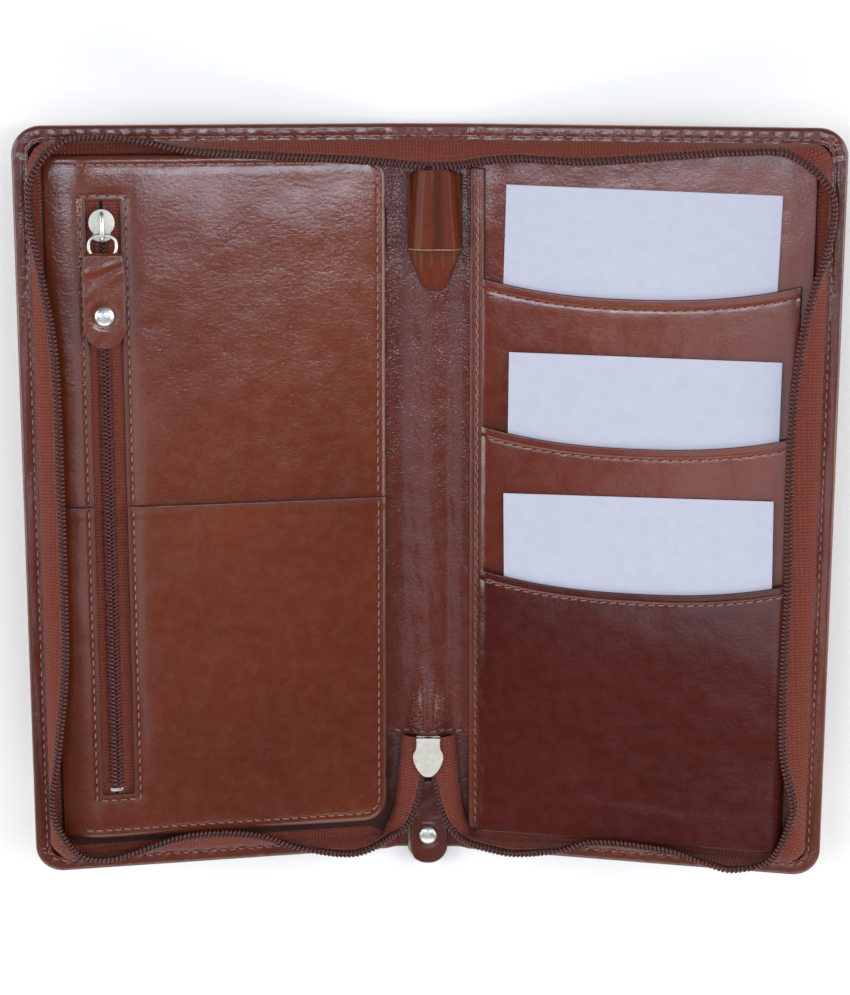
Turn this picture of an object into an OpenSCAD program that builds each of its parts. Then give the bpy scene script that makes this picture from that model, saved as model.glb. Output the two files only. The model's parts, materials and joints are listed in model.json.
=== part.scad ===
// Zip-around travel document organizer, lying open on its spine.
// Left cover: a hinged page with a zipped pocket and a passport pocket.
// Right cover: three stepped card pockets. Spine: lining, pen loop and the parked slider.
// World frame: X across the open covers, Y along the spine towards the top, Z up.
// Cover frame: u outwards from the fold line, v along the spine, w up from the cover's underside.

/* [Covers] */
// Height of the organizer along the spine
cover_h = 238; // [230:1:246]
// Width of one cover from its fold line to its outer edge
cover_w = 116.2; // [114:0.2:120]
// Distance from the middle of the spine to each fold line
fold_x = 12.5; // [12.5:0.1:14]
// Angle at which each cover is raised from the table
raise = 11.6; // [0:0.1:20]
// Radius of the outer corners of the covers
corner_r = 9; // [7:0.5:11]
// Thickness of the outer leather
leather_t = 1.2; // [1:0.1:1.3]
// Width of the turned leather border
border_w = 5.5; // [5:0.1:6]
// Height of the turned border above the underside
border_top = 3.8; // [3.6:0.1:4]

/* [Main zip] */
// Distance from the outer edge of a cover to the line where the tape is sewn
tape_inset = 7; // [6.5:0.1:7.5]
// Height of the middle of the coil above the cover's underside
coil_w = 9.75; // [9.6:0.05:10.2]
// Distance that the tape leans in from its sewn line to the middle of the coil
coil_lean = 3.95; // [3.9:0.05:4.1]
// Radius of the coil
coil_r = 1.1; // [0.9:0.05:1.1]

/* [Page] */
// Lowest and highest v of the page
page_v = [-107.5, 108]; // [-110:0.5:110]
// Lowest and highest u of the page
page_u = [2.4, 101.3]; // [2:0.1:102]
// Radius of the page's free corners
page_r = 8; // [4:0.5:10]
// Height of the upper edge of the passport pocket
passport_v = 1.5; // [-20:0.5:20]
// Lowest and highest u of the zip window
window_u = [84.2, 94]; // [80:0.1:96]
// Lowest and highest v of the zip window
window_v = [-92.8, 96.5]; // [-98:0.1:98]

/* [Cards] */
// Width of a card
card_w = 85; // [84:0.1:85.6]
// Height of a card
card_h = 54; // [53:0.1:54]
// Thickness of a card
card_t = 0.4; // [0.3:0.05:0.4]
// Height of the ends of each pocket's upper edge, from top to bottom
pocket_v = [71.4, 24.8, -21.5]; // [-40:0.1:80]
// Depth of the hollow in each pocket's upper edge
pocket_sag = 5.2; // [3:0.1:6]
// Left edge of each card
card_u = [11.7, 13.8, 13.3]; // [10.5:0.1:14.5]
// Lower edge of each card
card_v = [45.6, -5.8, -49.9]; // [-50:0.1:46]
// Tilt of each card
card_tilt = [-1.3, -0.3, 0.9]; // [-1.5:0.1:1.5]

/* [Pulls] */
// Length of a leather pull tab from its hinge bar to its round end
tab_len = 28.2; // [26:0.1:30]
// Width of a leather pull tab
tab_w = 12.9; // [12:0.1:13.2]
// Radius of the ring wire
wire_r = 0.6; // [0.5:0.05:0.6]
// Radius of a rivet's head
rivet_r = 3; // [2.5:0.1:3.1]

/* [Pen loop] */
// Length of the pen loop along the spine
loop_len = 24; // [20:0.5:26]
// Width of the pen loop
loop_w = 13.9; // [13:0.1:13.9]
// Height of the pen loop
loop_h = 6; // [6:0.1:6.2]

/* [Hidden] */

$fn = 48;
half_h = cover_h / 2;
air = 0.05;            // gap between layers of one body
slip = 0.1;            // gap beside a layer that slides
over = 1;              // how far a cutter runs past a face
fold_z = 1.3;          // height of the fold lines
fold_gap = 0.2;        // gap between the spine's leather and each fold line
cover_leather_u = 0.3; // gap between a cover's leather and its fold line
raised_u = 1.4;        // where the raised layers of a cover begin, clear of the spine lining

// Layers of a cover, from the underside up
board_t = 1.5;
lining_t = 0.5;
board_w0 = leather_t + air;
lining_w0 = board_w0 + board_t + air;
inner_w0 = lining_w0 + lining_t + air;
inner_u = cover_w - border_w;
inner_v = half_h - border_w;
inner_r = corner_r - border_w + 1;  // kept fuller than a true offset of the outer corner

// Main zip
tape_u = cover_w - tape_inset;
tape_v = inner_v - slip;
tape_r = 6;            // corner radius of the sewn line
tape_foot = [0.1, 1.1];
tape_tip = 0.85;       // distance inside the coil's middle, each way, where the tape ends
tape_tip_wide = [0.8, -0.4];
tape_start_u = 9;      // where the tape on a cover begins, clear of the tapes over the spine
tape_run = tape_u - tape_r - tape_start_u;
tape_rise = coil_w - inner_w0;

// Spine
spine_board_t = 0.5;
spine_board_z = leather_t + air;
spine_lining_t = 0.6;
lining_gap = 0.7;      // from the lining's long edges to the fold lines
spine_lining_z = spine_board_z + spine_board_t + air;
spine_top_z = spine_lining_z + spine_lining_t;
spine_lining_x = fold_x - lining_gap;
spine_lining_v = [-79.6, inner_v];
ridge_v = [-74, -58];  // stretch of the lining that bulges over the zip's tail
ridge_x = 4.2;
ridge_top = 4;
tail_x = 3;
tail_z = [1.3, 3];
tail_v = [-79.4, ridge_v[1] - 1.2];
tail_bend = [2, 3.4];  // how far from its end the tail bends, below and above
tail_end_t = 1.2;      // thickness of the tail where the chain leaves it
wall = 0.7;
spine_border_x = 9.5;
spine_border_top = 3.4;
board_end = 4;         // how far the spine's board stops short of the lining's lower edge
top_zip_x = 6;

// Pen loop
loop_x = 1.6;          // middle of the pen loop, nearer the card side
loop_v = 80.2;
loop_z = spine_top_z + air + spine_lining_t + air;
loop_wall = 0.7;
flap_v = 65.5;         // lower end of the flap that the loop is sewn to

// Parked main slider, with its back plate up
chain_z = 5.1;         // middle height of the chain over the spine
channel = [4.2, 6];    // inside heights of the slider's channel
plate_t = 0.8;
slider_v = [-92.7, -79.6];
slider_tail_x = 3.8;   // half width at the tail, where the closed chain leaves
slider_mouth_x = 5.1;  // half width at the mouth, where the two halves enter
slider_wide_v = -86.3;
slider_tip_x = 1.6;
slider_taper_x = 4.2;  // half width midway between the widest place and the tip
divider_x = 0.4;       // half width of the post that parts the two halves of the chain
divider_v = [0.5, 2];
lip_x = [3.4, 3.8];
lip_v = [-84, -79.6];
lip_z = [4.7, 5.6];
lead_coil_r = 0.75;
lead_tape_t = 0.5;
lead_tape_x = 5.9;
lead_gap = 1.4;        // from the chain's bend up to where the upper stretch of tape ends
lead_foot = 0.8;       // how much the foot of the lower stretch spreads
lead_line = [[0.85, -80], [1.25, -91], [5.1, -108], [8.8, -111.2]];
main_bar_v = -86.5;    // the ring's bar inside the bail
main_ring_z = 2.45;
main_ring_len = 9.4;
main_bail_v = [-90.9, -82.1];
main_bail_z = [1.3, 1.7];
main_tab_t = 2.1;
main_neck_w = 5.2;
main_neck_len = 13;

// Page layers, from its back up
page_back_w = 4.2;
page_leather_t = 0.8;
page_bag_w = page_back_w + page_leather_t + air;
page_bag_t = 0.55;
page_front_w = page_bag_w + page_bag_t + air;
passport_w = page_front_w + page_leather_t + air;
page_rim = 3;          // width of the stitched rim that joins the page's layers
bag_margin = 4;
hinge_strip_u = [101.5, 107.2];
hinge_strip_t = 0.7;

// Zip of the page pocket
zip_aside = 0.9;       // distance of the chain from the middle of the window, away from the spine
zip_mid_u = (window_u[0] + window_u[1]) / 2 + zip_aside;
zip_low = page_bag_w + page_bag_t + slip;
inner_tape_t = 0.45;
inner_coil_x = [0.45, 2.1];
inner_coil_t = 1.2;
inner_stop_len = 1.6;
chain_short = [2.2, 1.2];  // from the window's lower and upper ends to the ends of the chain
inner_chain_v = [window_v[0] + chain_short[0], window_v[1] - chain_short[1]];
inner_slider_v = 89.8;
inner_slider_len = 8.4;
inner_slider_w = 7.8;
inner_plate_w = zip_low + inner_coil_t + slip + air;
inner_low_t = 0.5;
inner_post = [0.7, 2.4];
inner_bar_v = 86.4;    // the ring's bar inside the bail
inner_bail_v = [84, 93];
inner_bail_heel = 3.7;
bail_x = 1.1;
bail_play = 0.25;      // gap between the ring's bar and the bail above it
ring_air = 0.35;       // gap between the ring's bar and the plate below it
bail_wall = 0.7;
inner_ring_w = inner_plate_w + plate_t + wire_r + ring_air;
inner_bail_top = inner_ring_w + wire_r + bail_play + bail_wall;
inner_ring_len = 6.6;
inner_tab_t = 2.3;
inner_neck_w = 6.4;
inner_neck_len = 1.3;
ring_x = 4;            // half width of a ring, to the middle of the wire
ring_r = 1.2;          // corner radius of a ring
bar_play = 0.08;       // radial clearance of the ring's bar in the tab's fold
rivet_y = -18.2;       // place of the rivet along a tab
dome_h = 1.4;
shank_r = 1.3;

// Card panel
panel_t = 0.75;
panel_u = 107.5;
panel_v = 111.7;
panel_r = 5.6;         // corner radius of the panel, inside the tape's corners
panel_top = inner_w0 + panel_t;
strip_u = 6;
strip_v = [-109.2, 105.5];
pocket_t = 0.8;
pocket_step = card_t + 2 * slip + pocket_t;
pocket_u = [strip_u + slip, 104];
pocket_mid_u = (pocket_u[0] + pocket_u[1]) / 2;
pocket_half = (pocket_u[1] - pocket_u[0]) / 2;
pocket_arc_r = (pocket_half * pocket_half + pocket_sag * pocket_sag) / (2 * pocket_sag);
pocket_low = [14, -33, -109.2];
rail_side = [3.5, 4.4];
rail_low = [41, -9.8, -54.4];
rail_h = 3;

// Colours
c_outer = [0.40, 0.19, 0.14];
c_page = [0.50, 0.23, 0.13];
c_panel = [0.44, 0.20, 0.13];
c_dark = [0.33, 0.11, 0.09];
c_tape = [0.46, 0.21, 0.16];
c_coil = [0.24, 0.10, 0.12];
c_lining = [0.12, 0.09, 0.11];
c_board = [0.45, 0.42, 0.38];
c_metal = [0.80, 0.80, 0.80];
c_card = [0.92, 0.92, 0.97];

function layer_w(i) = panel_top + slip + i * pocket_step;

// ---- frames and shared shapes ----

// Places a shape drawn in the right cover's frame
module on_right() {
    translate([fold_x, 0, fold_z]) rotate([0, -raise, 0]) translate([0, 0, -fold_z]) children();
}

// Places a shape drawn in the left cover's frame
module on_left() {
    mirror([1, 0, 0]) on_right() children();
}

// Flat layer from u0 to u1 and v0 to v1, with its two corners at u1 rounded
module layer(u, v, w0, t, r) {
    translate([0, 0, w0]) linear_extrude(t) rounded_end(u, v, r);
}

module rounded_end(u, v, r) {
    translate([u[0], v[0]]) square([u[1] - u[0] - r, v[1] - v[0]]);
    translate([u[0], v[0] + r]) square([u[1] - u[0], v[1] - v[0] - 2 * r]);
    for (y = [v[0] + r, v[1] - r]) translate([u[1] - r, y]) circle(r);
}

// Box given by its lowest and highest corners
module block(low, high) {
    translate(low) cube(high - low);
}

// ---- covers ----

module cover_leather() {
    full_v = [-half_h, half_h];
    layer([cover_leather_u, cover_w], full_v, 0, leather_t, corner_r);
    difference() {
        layer([raised_u, cover_w], full_v, leather_t, border_top - leather_t, corner_r);
        translate([-over, 0, -over])
            layer([0, inner_u + over], [-inner_v, inner_v], 0, border_top + 2 * over, inner_r);
    }
}

module cover_board() {
    layer([raised_u + slip, inner_u - slip], [slip - inner_v, inner_v - slip], board_w0, board_t, inner_r);
}

module cover_lining() {
    layer([raised_u, inner_u - slip], [slip - inner_v, inner_v - slip], lining_w0, lining_t, inner_r);
}

// Carries a profile of [distance inwards from the sewn line, w] round three sides of a cover
module around_cover() {
    for (side = [-1, 1]) {
        translate([tape_start_u, side * tape_v, 0])
            rotate([90, 0, 90]) mirror([side > 0 ? 1 : 0, 0, 0]) linear_extrude(tape_run) children();
        translate([tape_u - tape_r, side * (tape_v - tape_r), 0])
            rotate([0, 0, side > 0 ? 0 : -90]) rotate_extrude(angle = 90)
                translate([tape_r, 0]) mirror([1, 0]) children();
    }
    translate([tape_u, -tape_v + tape_r, 0]) rotate([90, 0, 180])
        linear_extrude(2 * (tape_v - tape_r)) children();
}

// Leaning strip of the zip tape, drawn from height foot_w
module tape_profile(foot_w) {
    tip = [coil_lean - tape_tip, foot_w + tape_rise - tape_tip];
    polygon([[tape_foot[0], foot_w], [tape_foot[1], foot_w], tip + tape_tip_wide, tip]);
}

module coil_profile(foot_w) {
    translate([coil_lean, foot_w + tape_rise]) circle(coil_r);
}

module left_cover_leather() { color(c_outer) on_left() cover_leather(); }
module left_cover_board() { color(c_board) on_left() cover_board(); }
module left_cover_lining() { color(c_lining) on_left() cover_lining(); }
module left_zip_tape() { color(c_tape) on_left() around_cover() tape_profile(inner_w0); }
module left_zip_coil() { color(c_coil) on_left() around_cover() coil_profile(inner_w0); }
module right_cover_leather() { color(c_outer) on_right() cover_leather(); }
module right_cover_board() { color(c_board) on_right() cover_board(); }
module right_cover_lining() { color(c_lining) on_right() cover_lining(); }
module right_zip_tape() { color(c_tape) on_right() around_cover() tape_profile(inner_w0); }
module right_zip_coil() { color(c_coil) on_right() around_cover() coil_profile(inner_w0); }

// ---- spine ----

module spine_cover() {
    half_x = fold_x - fold_gap;
    color(c_outer) {
        block([-half_x, -half_h, 0], [half_x, half_h, leather_t]);
        block([-spine_border_x, inner_v + slip, leather_t], [spine_border_x, half_h, spine_border_top]);
    }
}

module spine_board() {
    color(c_board) difference() {
        block([-spine_lining_x + wall, spine_lining_v[0] + board_end, spine_board_z],
            [spine_lining_x - wall, inner_v, spine_board_z + spine_board_t]);
        block([-tail_x - slip, spine_lining_v[0], 0], [tail_x + slip, ridge_v[1], spine_top_z]);
    }
}

module spine_lining() {
    hollow_x = ridge_x - wall;
    color(c_panel) {
        difference() {
            block([-spine_lining_x, spine_lining_v[0], spine_lining_z],
                [spine_lining_x, spine_lining_v[1], spine_top_z]);
            block([-ridge_x, spine_lining_v[0] - over, 0], [ridge_x, ridge_v[1], ridge_top]);
        }
        difference() {
            block([-ridge_x, ridge_v[0], spine_lining_z], [ridge_x, ridge_v[1], ridge_top]);
            block([-hollow_x, ridge_v[0] - over, 0], [hollow_x, ridge_v[1] - wall, ridge_top - wall]);
        }
    }
}

module pen_loop_base() {
    color(c_page) block([loop_x - loop_w / 2, flap_v, spine_top_z + air],
        [loop_x + loop_w / 2, loop_v + loop_len, loop_z - air]);
}

// Flattened tube
module pen_loop() {
    r = loop_h / 2;
    color(c_page) translate([loop_x, loop_v + loop_len, loop_z + r]) rotate([90, 0, 0])
        linear_extrude(loop_len) difference() {
            flat_round(loop_w, r);
            flat_round(loop_w - 2 * loop_wall, r - loop_wall);
        }
}

module flat_round(w, r) {
    square([w - 2 * r, 2 * r], center = true);
    for (side = [-1, 1]) translate([side * (w / 2 - r), 0]) circle(r);
}

module across_spine() {
    translate([-top_zip_x, tape_v, 0]) rotate([90, 0, 90]) mirror([1, 0, 0])
        linear_extrude(2 * top_zip_x) children();
}

module top_zip_tape() { color(c_tape) across_spine() tape_profile(spine_top_z + air); }
module top_zip_coil() { color(c_coil) across_spine() coil_profile(spine_top_z + air); }

// Sewn end of the main zip, running up under the lining
module zip_tail() {
    side = [[tail_v[1], tail_z[0]], [tail_v[1], tail_z[1]], [tail_v[0] + tail_bend[1], tail_z[1]],
        [tail_v[0], chain_z + tail_end_t / 2], [tail_v[0], chain_z - tail_end_t / 2],
        [tail_v[0] + tail_bend[0], tail_z[0]]];
    color(c_tape) translate([-tail_x, 0, 0]) rotate([90, 0, 90]) linear_extrude(2 * tail_x) polygon(side);
}

// Unit vector square to the left of the step from a to b
function left_of(a, b) = [a[1] - b[1], b[0] - a[0]] / norm(b - a);

// Points of a line moved sideways by d, mitred at its bends
function beside(line, d) = [for (i = [0:len(line) - 1])
    let (n = len(line) - 1,
        before = left_of(line[max(i - 1, 0)], line[max(i, 1)]),
        after = left_of(line[min(i, n - 1)], line[min(i + 1, n)]),
        mean = (before + after) / norm(before + after))
    line[i] + mean * d / (mean * before)];

// One half of the chain, from inside the slider to the fold line
module lead_coil() {
    back = beside(lead_line, lead_coil_r);
    front = beside(lead_line, -lead_coil_r);
    translate([0, 0, chain_z - lead_coil_r]) linear_extrude(2 * lead_coil_r)
        polygon([each back, for (i = [len(front) - 1:-1:0]) front[i]]);
}

module lead_tape() {
    off = lead_coil_r + air;
    top = lead_line[0];
    bend = lead_line[1];
    wide = lead_line[2];
    end = lead_line[3];
    foot = lead_foot / 2;
    translate([0, 0, chain_z - lead_tape_t / 2]) linear_extrude(lead_tape_t) {
        polygon([[top[0] + off, top[1]], [lead_tape_x, top[1]], [lead_tape_x, wide[1] + lead_gap],
            [wide[0] + off - slip, wide[1] + lead_gap], [bend[0] + off + slip, bend[1]]]);
        polygon([[wide[0] - foot, -inner_v], [wide[0] - foot, wide[1] - off - foot],
            [end[0] - foot, end[1] - off - foot], [end[0] + foot, -inner_v]]);
    }
}

module lead_tape_right() { color(c_tape) lead_tape(); }
module lead_tape_left() { color(c_tape) mirror([1, 0, 0]) lead_tape(); }
module lead_coil_right() { color(c_coil) lead_coil(); }
module lead_coil_left() { color(c_coil) mirror([1, 0, 0]) lead_coil(); }

// ---- main slider and its pull ----

module slider_plate() {
    mid = (slider_v[0] + slider_wide_v) / 2;
    polygon([[-slider_tail_x, slider_v[1]], [slider_tail_x, slider_v[1]],
        [slider_mouth_x, slider_wide_v], [slider_taper_x, mid],
        [slider_tip_x, slider_v[0]], [-slider_tip_x, slider_v[0]],
        [-slider_taper_x, mid], [-slider_mouth_x, slider_wide_v]]);
}

module main_slider_body() {
    color(c_metal) {
        translate([0, 0, channel[0] - plate_t]) linear_extrude(plate_t) slider_plate();
        translate([0, 0, channel[1]]) linear_extrude(plate_t) slider_plate();
        block([-divider_x, slider_v[0] + divider_v[0], channel[0]],
            [divider_x, slider_v[0] + divider_v[1], channel[1]]);
        for (side = [0, 1]) mirror([side, 0, 0]) {
            block([lip_x[0], lip_v[0], channel[0]], [lip_x[1], lip_v[1], lip_z[0]]);
            block([lip_x[0], lip_v[0], lip_z[1]], [lip_x[1], lip_v[1], channel[1]]);
        }
    }
}

module main_slider_bail() {
    top = channel[0] - plate_t;
    color(c_metal) difference() {
        block([-bail_x, main_bail_v[0], main_bail_z[0]], [bail_x, main_bail_v[1], top]);
        block([-bail_x - over, main_bail_v[0] + bail_wall, main_bail_z[1]],
            [bail_x + over, main_bail_v[1] - bail_wall, top + over]);
    }
}

// Wire ring lying flat, with the middle of its first bar at the origin and its other bar at -Y
module wire_ring(length) {
    span = ring_x - ring_r;
    run = length - 2 * ring_r;
    for (y = [0, -length])
        translate([-span, y, 0]) rotate([0, 90, 0]) cylinder(h = 2 * span, r = wire_r);
    for (side = [0, 1]) mirror([side, 0, 0]) {
        translate([ring_x, -ring_r, 0]) rotate([90, 0, 0]) cylinder(h = run, r = wire_r);
        translate([span, -ring_r, 0]) rotate_extrude(angle = 90) translate([ring_r, 0]) circle(wire_r);
        translate([span, ring_r - length, 0]) rotate([0, 0, -90])
            rotate_extrude(angle = 90) translate([ring_r, 0]) circle(wire_r);
    }
}

// Leather pull tab, folded round the ring's bar at the origin and pointing to -Y
module pull_tab(neck_w, neck_len, thick) {
    r = thick / 2;
    end_y = tab_w / 2 - tab_len;
    difference() {
        union() {
            translate([-neck_w / 2, 0, 0]) rotate([0, 90, 0]) cylinder(h = neck_w, r = r);
            translate([0, 0, -r]) linear_extrude(thick) {
                polygon([[-neck_w / 2, 0], [neck_w / 2, 0], [neck_w / 2, -inner_neck_len],
                    [tab_w / 2, -neck_len], [tab_w / 2, end_y], [-tab_w / 2, end_y],
                    [-tab_w / 2, -neck_len], [-neck_w / 2, -inner_neck_len]]);
                translate([0, end_y]) circle(tab_w / 2);
            }
        }
        translate([-tab_w, 0, 0]) rotate([0, 90, 0]) cylinder(h = 2 * tab_w, r = wire_r + bar_play);
        translate([0, rivet_y, -r - over]) cylinder(h = thick + 2 * over, r = shank_r);
    }
}

// Domed rivet through a tab of the given thickness
module rivet(thick) {
    dome_r = (rivet_r * rivet_r + dome_h * dome_h) / (2 * dome_h);
    translate([0, rivet_y, -thick / 2]) {
        cylinder(h = thick, r = shank_r);
        translate([0, 0, thick]) intersection() {
            translate([0, 0, dome_h - dome_r]) sphere(dome_r);
            cylinder(h = dome_h + over, r = rivet_r);
        }
    }
}

module at_main_bar() { translate([0, main_bar_v, main_ring_z]) children(); }
module at_main_fold() { translate([0, main_bar_v - main_ring_len, main_ring_z]) children(); }

module main_pull_ring() { color(c_metal) at_main_bar() wire_ring(main_ring_len); }
module main_pull_tab() { color(c_page) at_main_fold() pull_tab(main_neck_w, main_neck_len, main_tab_t); }
module main_pull_rivet() { color(c_metal) at_main_fold() rivet(main_tab_t); }

// ---- page on the left cover ----

// Flat layer with the two corners next to the spine rounded
module page_layer(w0, t, u, v) {
    translate([u[0] + u[1], 0, 0]) mirror([1, 0, 0]) layer(u, v, w0, t, page_r);
}

module window_cut() {
    block([window_u[0], window_v[0], 0], [window_u[1], window_v[1], coil_w]);
}

module page_back() {
    rim_u = [page_u[0] + page_rim, page_u[1] - page_rim];
    rim_v = [page_v[0] + page_rim, page_v[1] - page_rim];
    color(c_page) on_left() {
        page_layer(page_back_w, page_leather_t, page_u, page_v);
        difference() {
            page_layer(page_back_w + page_leather_t, page_bag_t + air, page_u, page_v);
            page_layer(page_back_w, coil_w, rim_u, rim_v);
        }
    }
}

module page_bag() {
    u = [page_u[0] + bag_margin, page_u[1] - bag_margin];
    v = [page_v[0] + bag_margin, page_v[1] - bag_margin];
    color(c_lining) on_left() difference() {
        page_layer(page_bag_w, page_bag_t, u, v);
        window_cut();
    }
}

module page_front() {
    color(c_page) on_left() difference() {
        page_layer(page_front_w + air, page_leather_t, page_u, page_v);
        window_cut();
    }
}

module passport_pocket() {
    color(c_page) on_left() difference() {
        page_layer(passport_w + air, page_leather_t, page_u, page_v);
        window_cut();
        block([0, passport_v, 0], [cover_w, half_h, coil_w]);
    }
}

module page_hinge_strip() {
    color(c_page) on_left() block([hinge_strip_u[0], page_v[0] + page_r, inner_w0],
        [hinge_strip_u[1], page_v[1] - page_r, inner_w0 + hinge_strip_t]);
}

module inner_tape(low_u, high_u) {
    block([low_u, window_v[0] + slip, zip_low], [high_u, window_v[1] - slip, zip_low + inner_tape_t]);
}

module inner_coil(side) {
    x = side * inner_coil_x;
    block([zip_mid_u + min(x), inner_chain_v[0], zip_low],
        [zip_mid_u + max(x), inner_chain_v[1], zip_low + inner_coil_t]);
}

module inner_zip_tape_spine_side() {
    color(c_tape) on_left() inner_tape(window_u[0] + slip, zip_mid_u - inner_coil_x[1] - slip);
}
module inner_zip_tape_edge_side() {
    color(c_tape) on_left() inner_tape(zip_mid_u + inner_coil_x[1] + slip, window_u[1] - slip);
}
module inner_zip_coil_spine_side() { color(c_coil) on_left() inner_coil(-1); }
module inner_zip_coil_edge_side() { color(c_coil) on_left() inner_coil(1); }

module inner_stop(v0) {
    color(c_metal) on_left() block([zip_mid_u - inner_coil_x[1], v0, zip_low],
        [zip_mid_u + inner_coil_x[1], v0 + inner_stop_len / 2, zip_low + inner_coil_t]);
}

module inner_zip_stop_top() { inner_stop(inner_chain_v[1] + air); }
module inner_zip_stop_bottom() { inner_stop(inner_chain_v[0] - inner_stop_len / 2 - air); }

// ---- slider and pull of the page pocket ----

module inner_slider_body() {
    r = inner_slider_w / 2;
    reach = inner_slider_len - inner_slider_w;
    color(c_metal) on_left() translate([zip_mid_u, inner_slider_v, 0]) {
        translate([0, 0, inner_plate_w]) linear_extrude(plate_t) {
            square([inner_slider_w, reach], center = true);
            for (side = [-1, 1]) translate([0, side * reach / 2]) circle(r);
        }
        block([-inner_post[0] / 2, 0, page_bag_w], [inner_post[0] / 2, inner_post[1], inner_plate_w]);
        block([-inner_coil_x[1], -r / 2, page_bag_w], [inner_coil_x[1], r, page_bag_w + inner_low_t]);
    }
}

module inner_slider_bail() {
    foot = inner_plate_w + plate_t;
    color(c_metal) on_left() translate([zip_mid_u, 0, 0]) difference() {
        block([-bail_x, inner_bail_v[0], foot], [bail_x, inner_bail_v[1], inner_bail_top]);
        block([-bail_x - over, inner_bail_v[0] + bail_wall, foot - over],
            [bail_x + over, inner_bail_v[1] - inner_bail_heel, inner_bail_top - bail_wall]);
    }
}

module at_inner_bar() { on_left() translate([zip_mid_u, inner_bar_v, inner_ring_w]) children(); }
module at_inner_fold() { at_inner_bar() translate([0, -inner_ring_len, 0]) children(); }

module inner_pull_ring() { color(c_metal) at_inner_bar() wire_ring(inner_ring_len); }
module inner_pull_tab() {
    color(c_page) at_inner_fold() pull_tab(inner_neck_w, inner_neck_len, inner_tab_t);
}
module inner_pull_rivet() { color(c_metal) at_inner_fold() rivet(inner_tab_t); }

// ---- card panel on the right cover ----

module card_panel_base() {
    color(c_panel) on_right() layer([raised_u, panel_u], [-panel_v, panel_v], inner_w0, panel_t, panel_r);
}

module card_panel_strip() {
    color(c_panel) on_right() block([raised_u, strip_v[0], panel_top],
        [strip_u, strip_v[1], panel_top + pocket_t]);
}

// Front of pocket i, with rails that hold it off the layer below by a card's thickness
module card_pocket(i) {
    front_w = layer_w(i) + card_t + slip;
    low = pocket_low[i];
    high = pocket_v[i];
    prior_low = i > 0 ? pocket_low[i - 1] : high;
    prior_top = i > 0 ? layer_w(i - 1) + card_t + slip + pocket_t : panel_top;
    on_right() difference() {
        union() {
            block([pocket_u[0], low, front_w], [pocket_u[1], high, front_w + pocket_t]);
            for (u = [[pocket_u[0], pocket_u[0] + rail_side[0]], [pocket_u[1] - rail_side[1], pocket_u[1]]])
                pocket_rail(u, [low, high], front_w, prior_low, prior_top);
            pocket_rail(pocket_u, [rail_low[i], rail_low[i] + rail_h], front_w, prior_low, prior_top);
        }
        translate([pocket_mid_u, high - pocket_sag + pocket_arc_r, 0])
            cylinder(h = 3 * coil_w, r = pocket_arc_r, center = true, $fn = 240);
    }
}

// Rail under a pocket front; it stands on the panel, or on the front above it where that reaches
module pocket_rail(u, v, top, prior_low, prior_top) {
    split = min(v[1], prior_low);
    if (split > v[0]) block([u[0], v[0], panel_top], [u[1], split - (split < v[1] ? slip : 0), top]);
    if (v[1] > split) block([u[0], split - slip, prior_top], [u[1], v[1], top]);
}

module card_pocket_top() { color(c_panel) card_pocket(0); }
module card_pocket_middle() { color(c_panel) card_pocket(1); }
module card_pocket_bottom() { color(c_dark) card_pocket(2); }

module card(i) {
    color(c_card) on_right() translate([card_u[i] + card_w / 2, card_v[i] + card_h / 2, layer_w(i)])
        rotate([0, 0, card_tilt[i]])
            translate([-card_w / 2, -card_h / 2, 0]) cube([card_w, card_h, card_t]);
}

module card_top() { card(0); }
module card_middle() { card(1); }
module card_bottom() { card(2); }

spine_cover();
spine_board();
spine_lining();
pen_loop_base();
pen_loop();
top_zip_tape();
top_zip_coil();
zip_tail();
lead_tape_left();
lead_tape_right();
lead_coil_left();
lead_coil_right();
main_slider_body();
main_slider_bail();
main_pull_ring();
main_pull_tab();
main_pull_rivet();
left_cover_leather();
left_cover_board();
left_cover_lining();
left_zip_tape();
left_zip_coil();
page_hinge_strip();
page_back();
page_bag();
page_front();
passport_pocket();
inner_zip_tape_spine_side();
inner_zip_tape_edge_side();
inner_zip_coil_spine_side();
inner_zip_coil_edge_side();
inner_zip_stop_top();
inner_zip_stop_bottom();
inner_slider_body();
inner_slider_bail();
inner_pull_ring();
inner_pull_tab();
inner_pull_rivet();
right_cover_leather();
right_cover_board();
right_cover_lining();
right_zip_tape();
right_zip_coil();
card_panel_base();
card_panel_strip();
card_pocket_top();
card_pocket_middle();
card_pocket_bottom();
card_top();
card_middle();
card_bottom();
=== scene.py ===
"""Looks of the zip-around travel document organizer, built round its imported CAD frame.

Local frame of a cover, in millimetres: u outwards from the fold line, v along the spine,
w up from the cover's underside. X is the distance from the middle of the spine along the
opened-out leather, so X = u + FOLD_X. fold(), left() and right() give the world's millimetres,
and make() writes metres.
"""
import json
import math

import bpy
import numpy as np
from mathutils import Matrix, Vector


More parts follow.
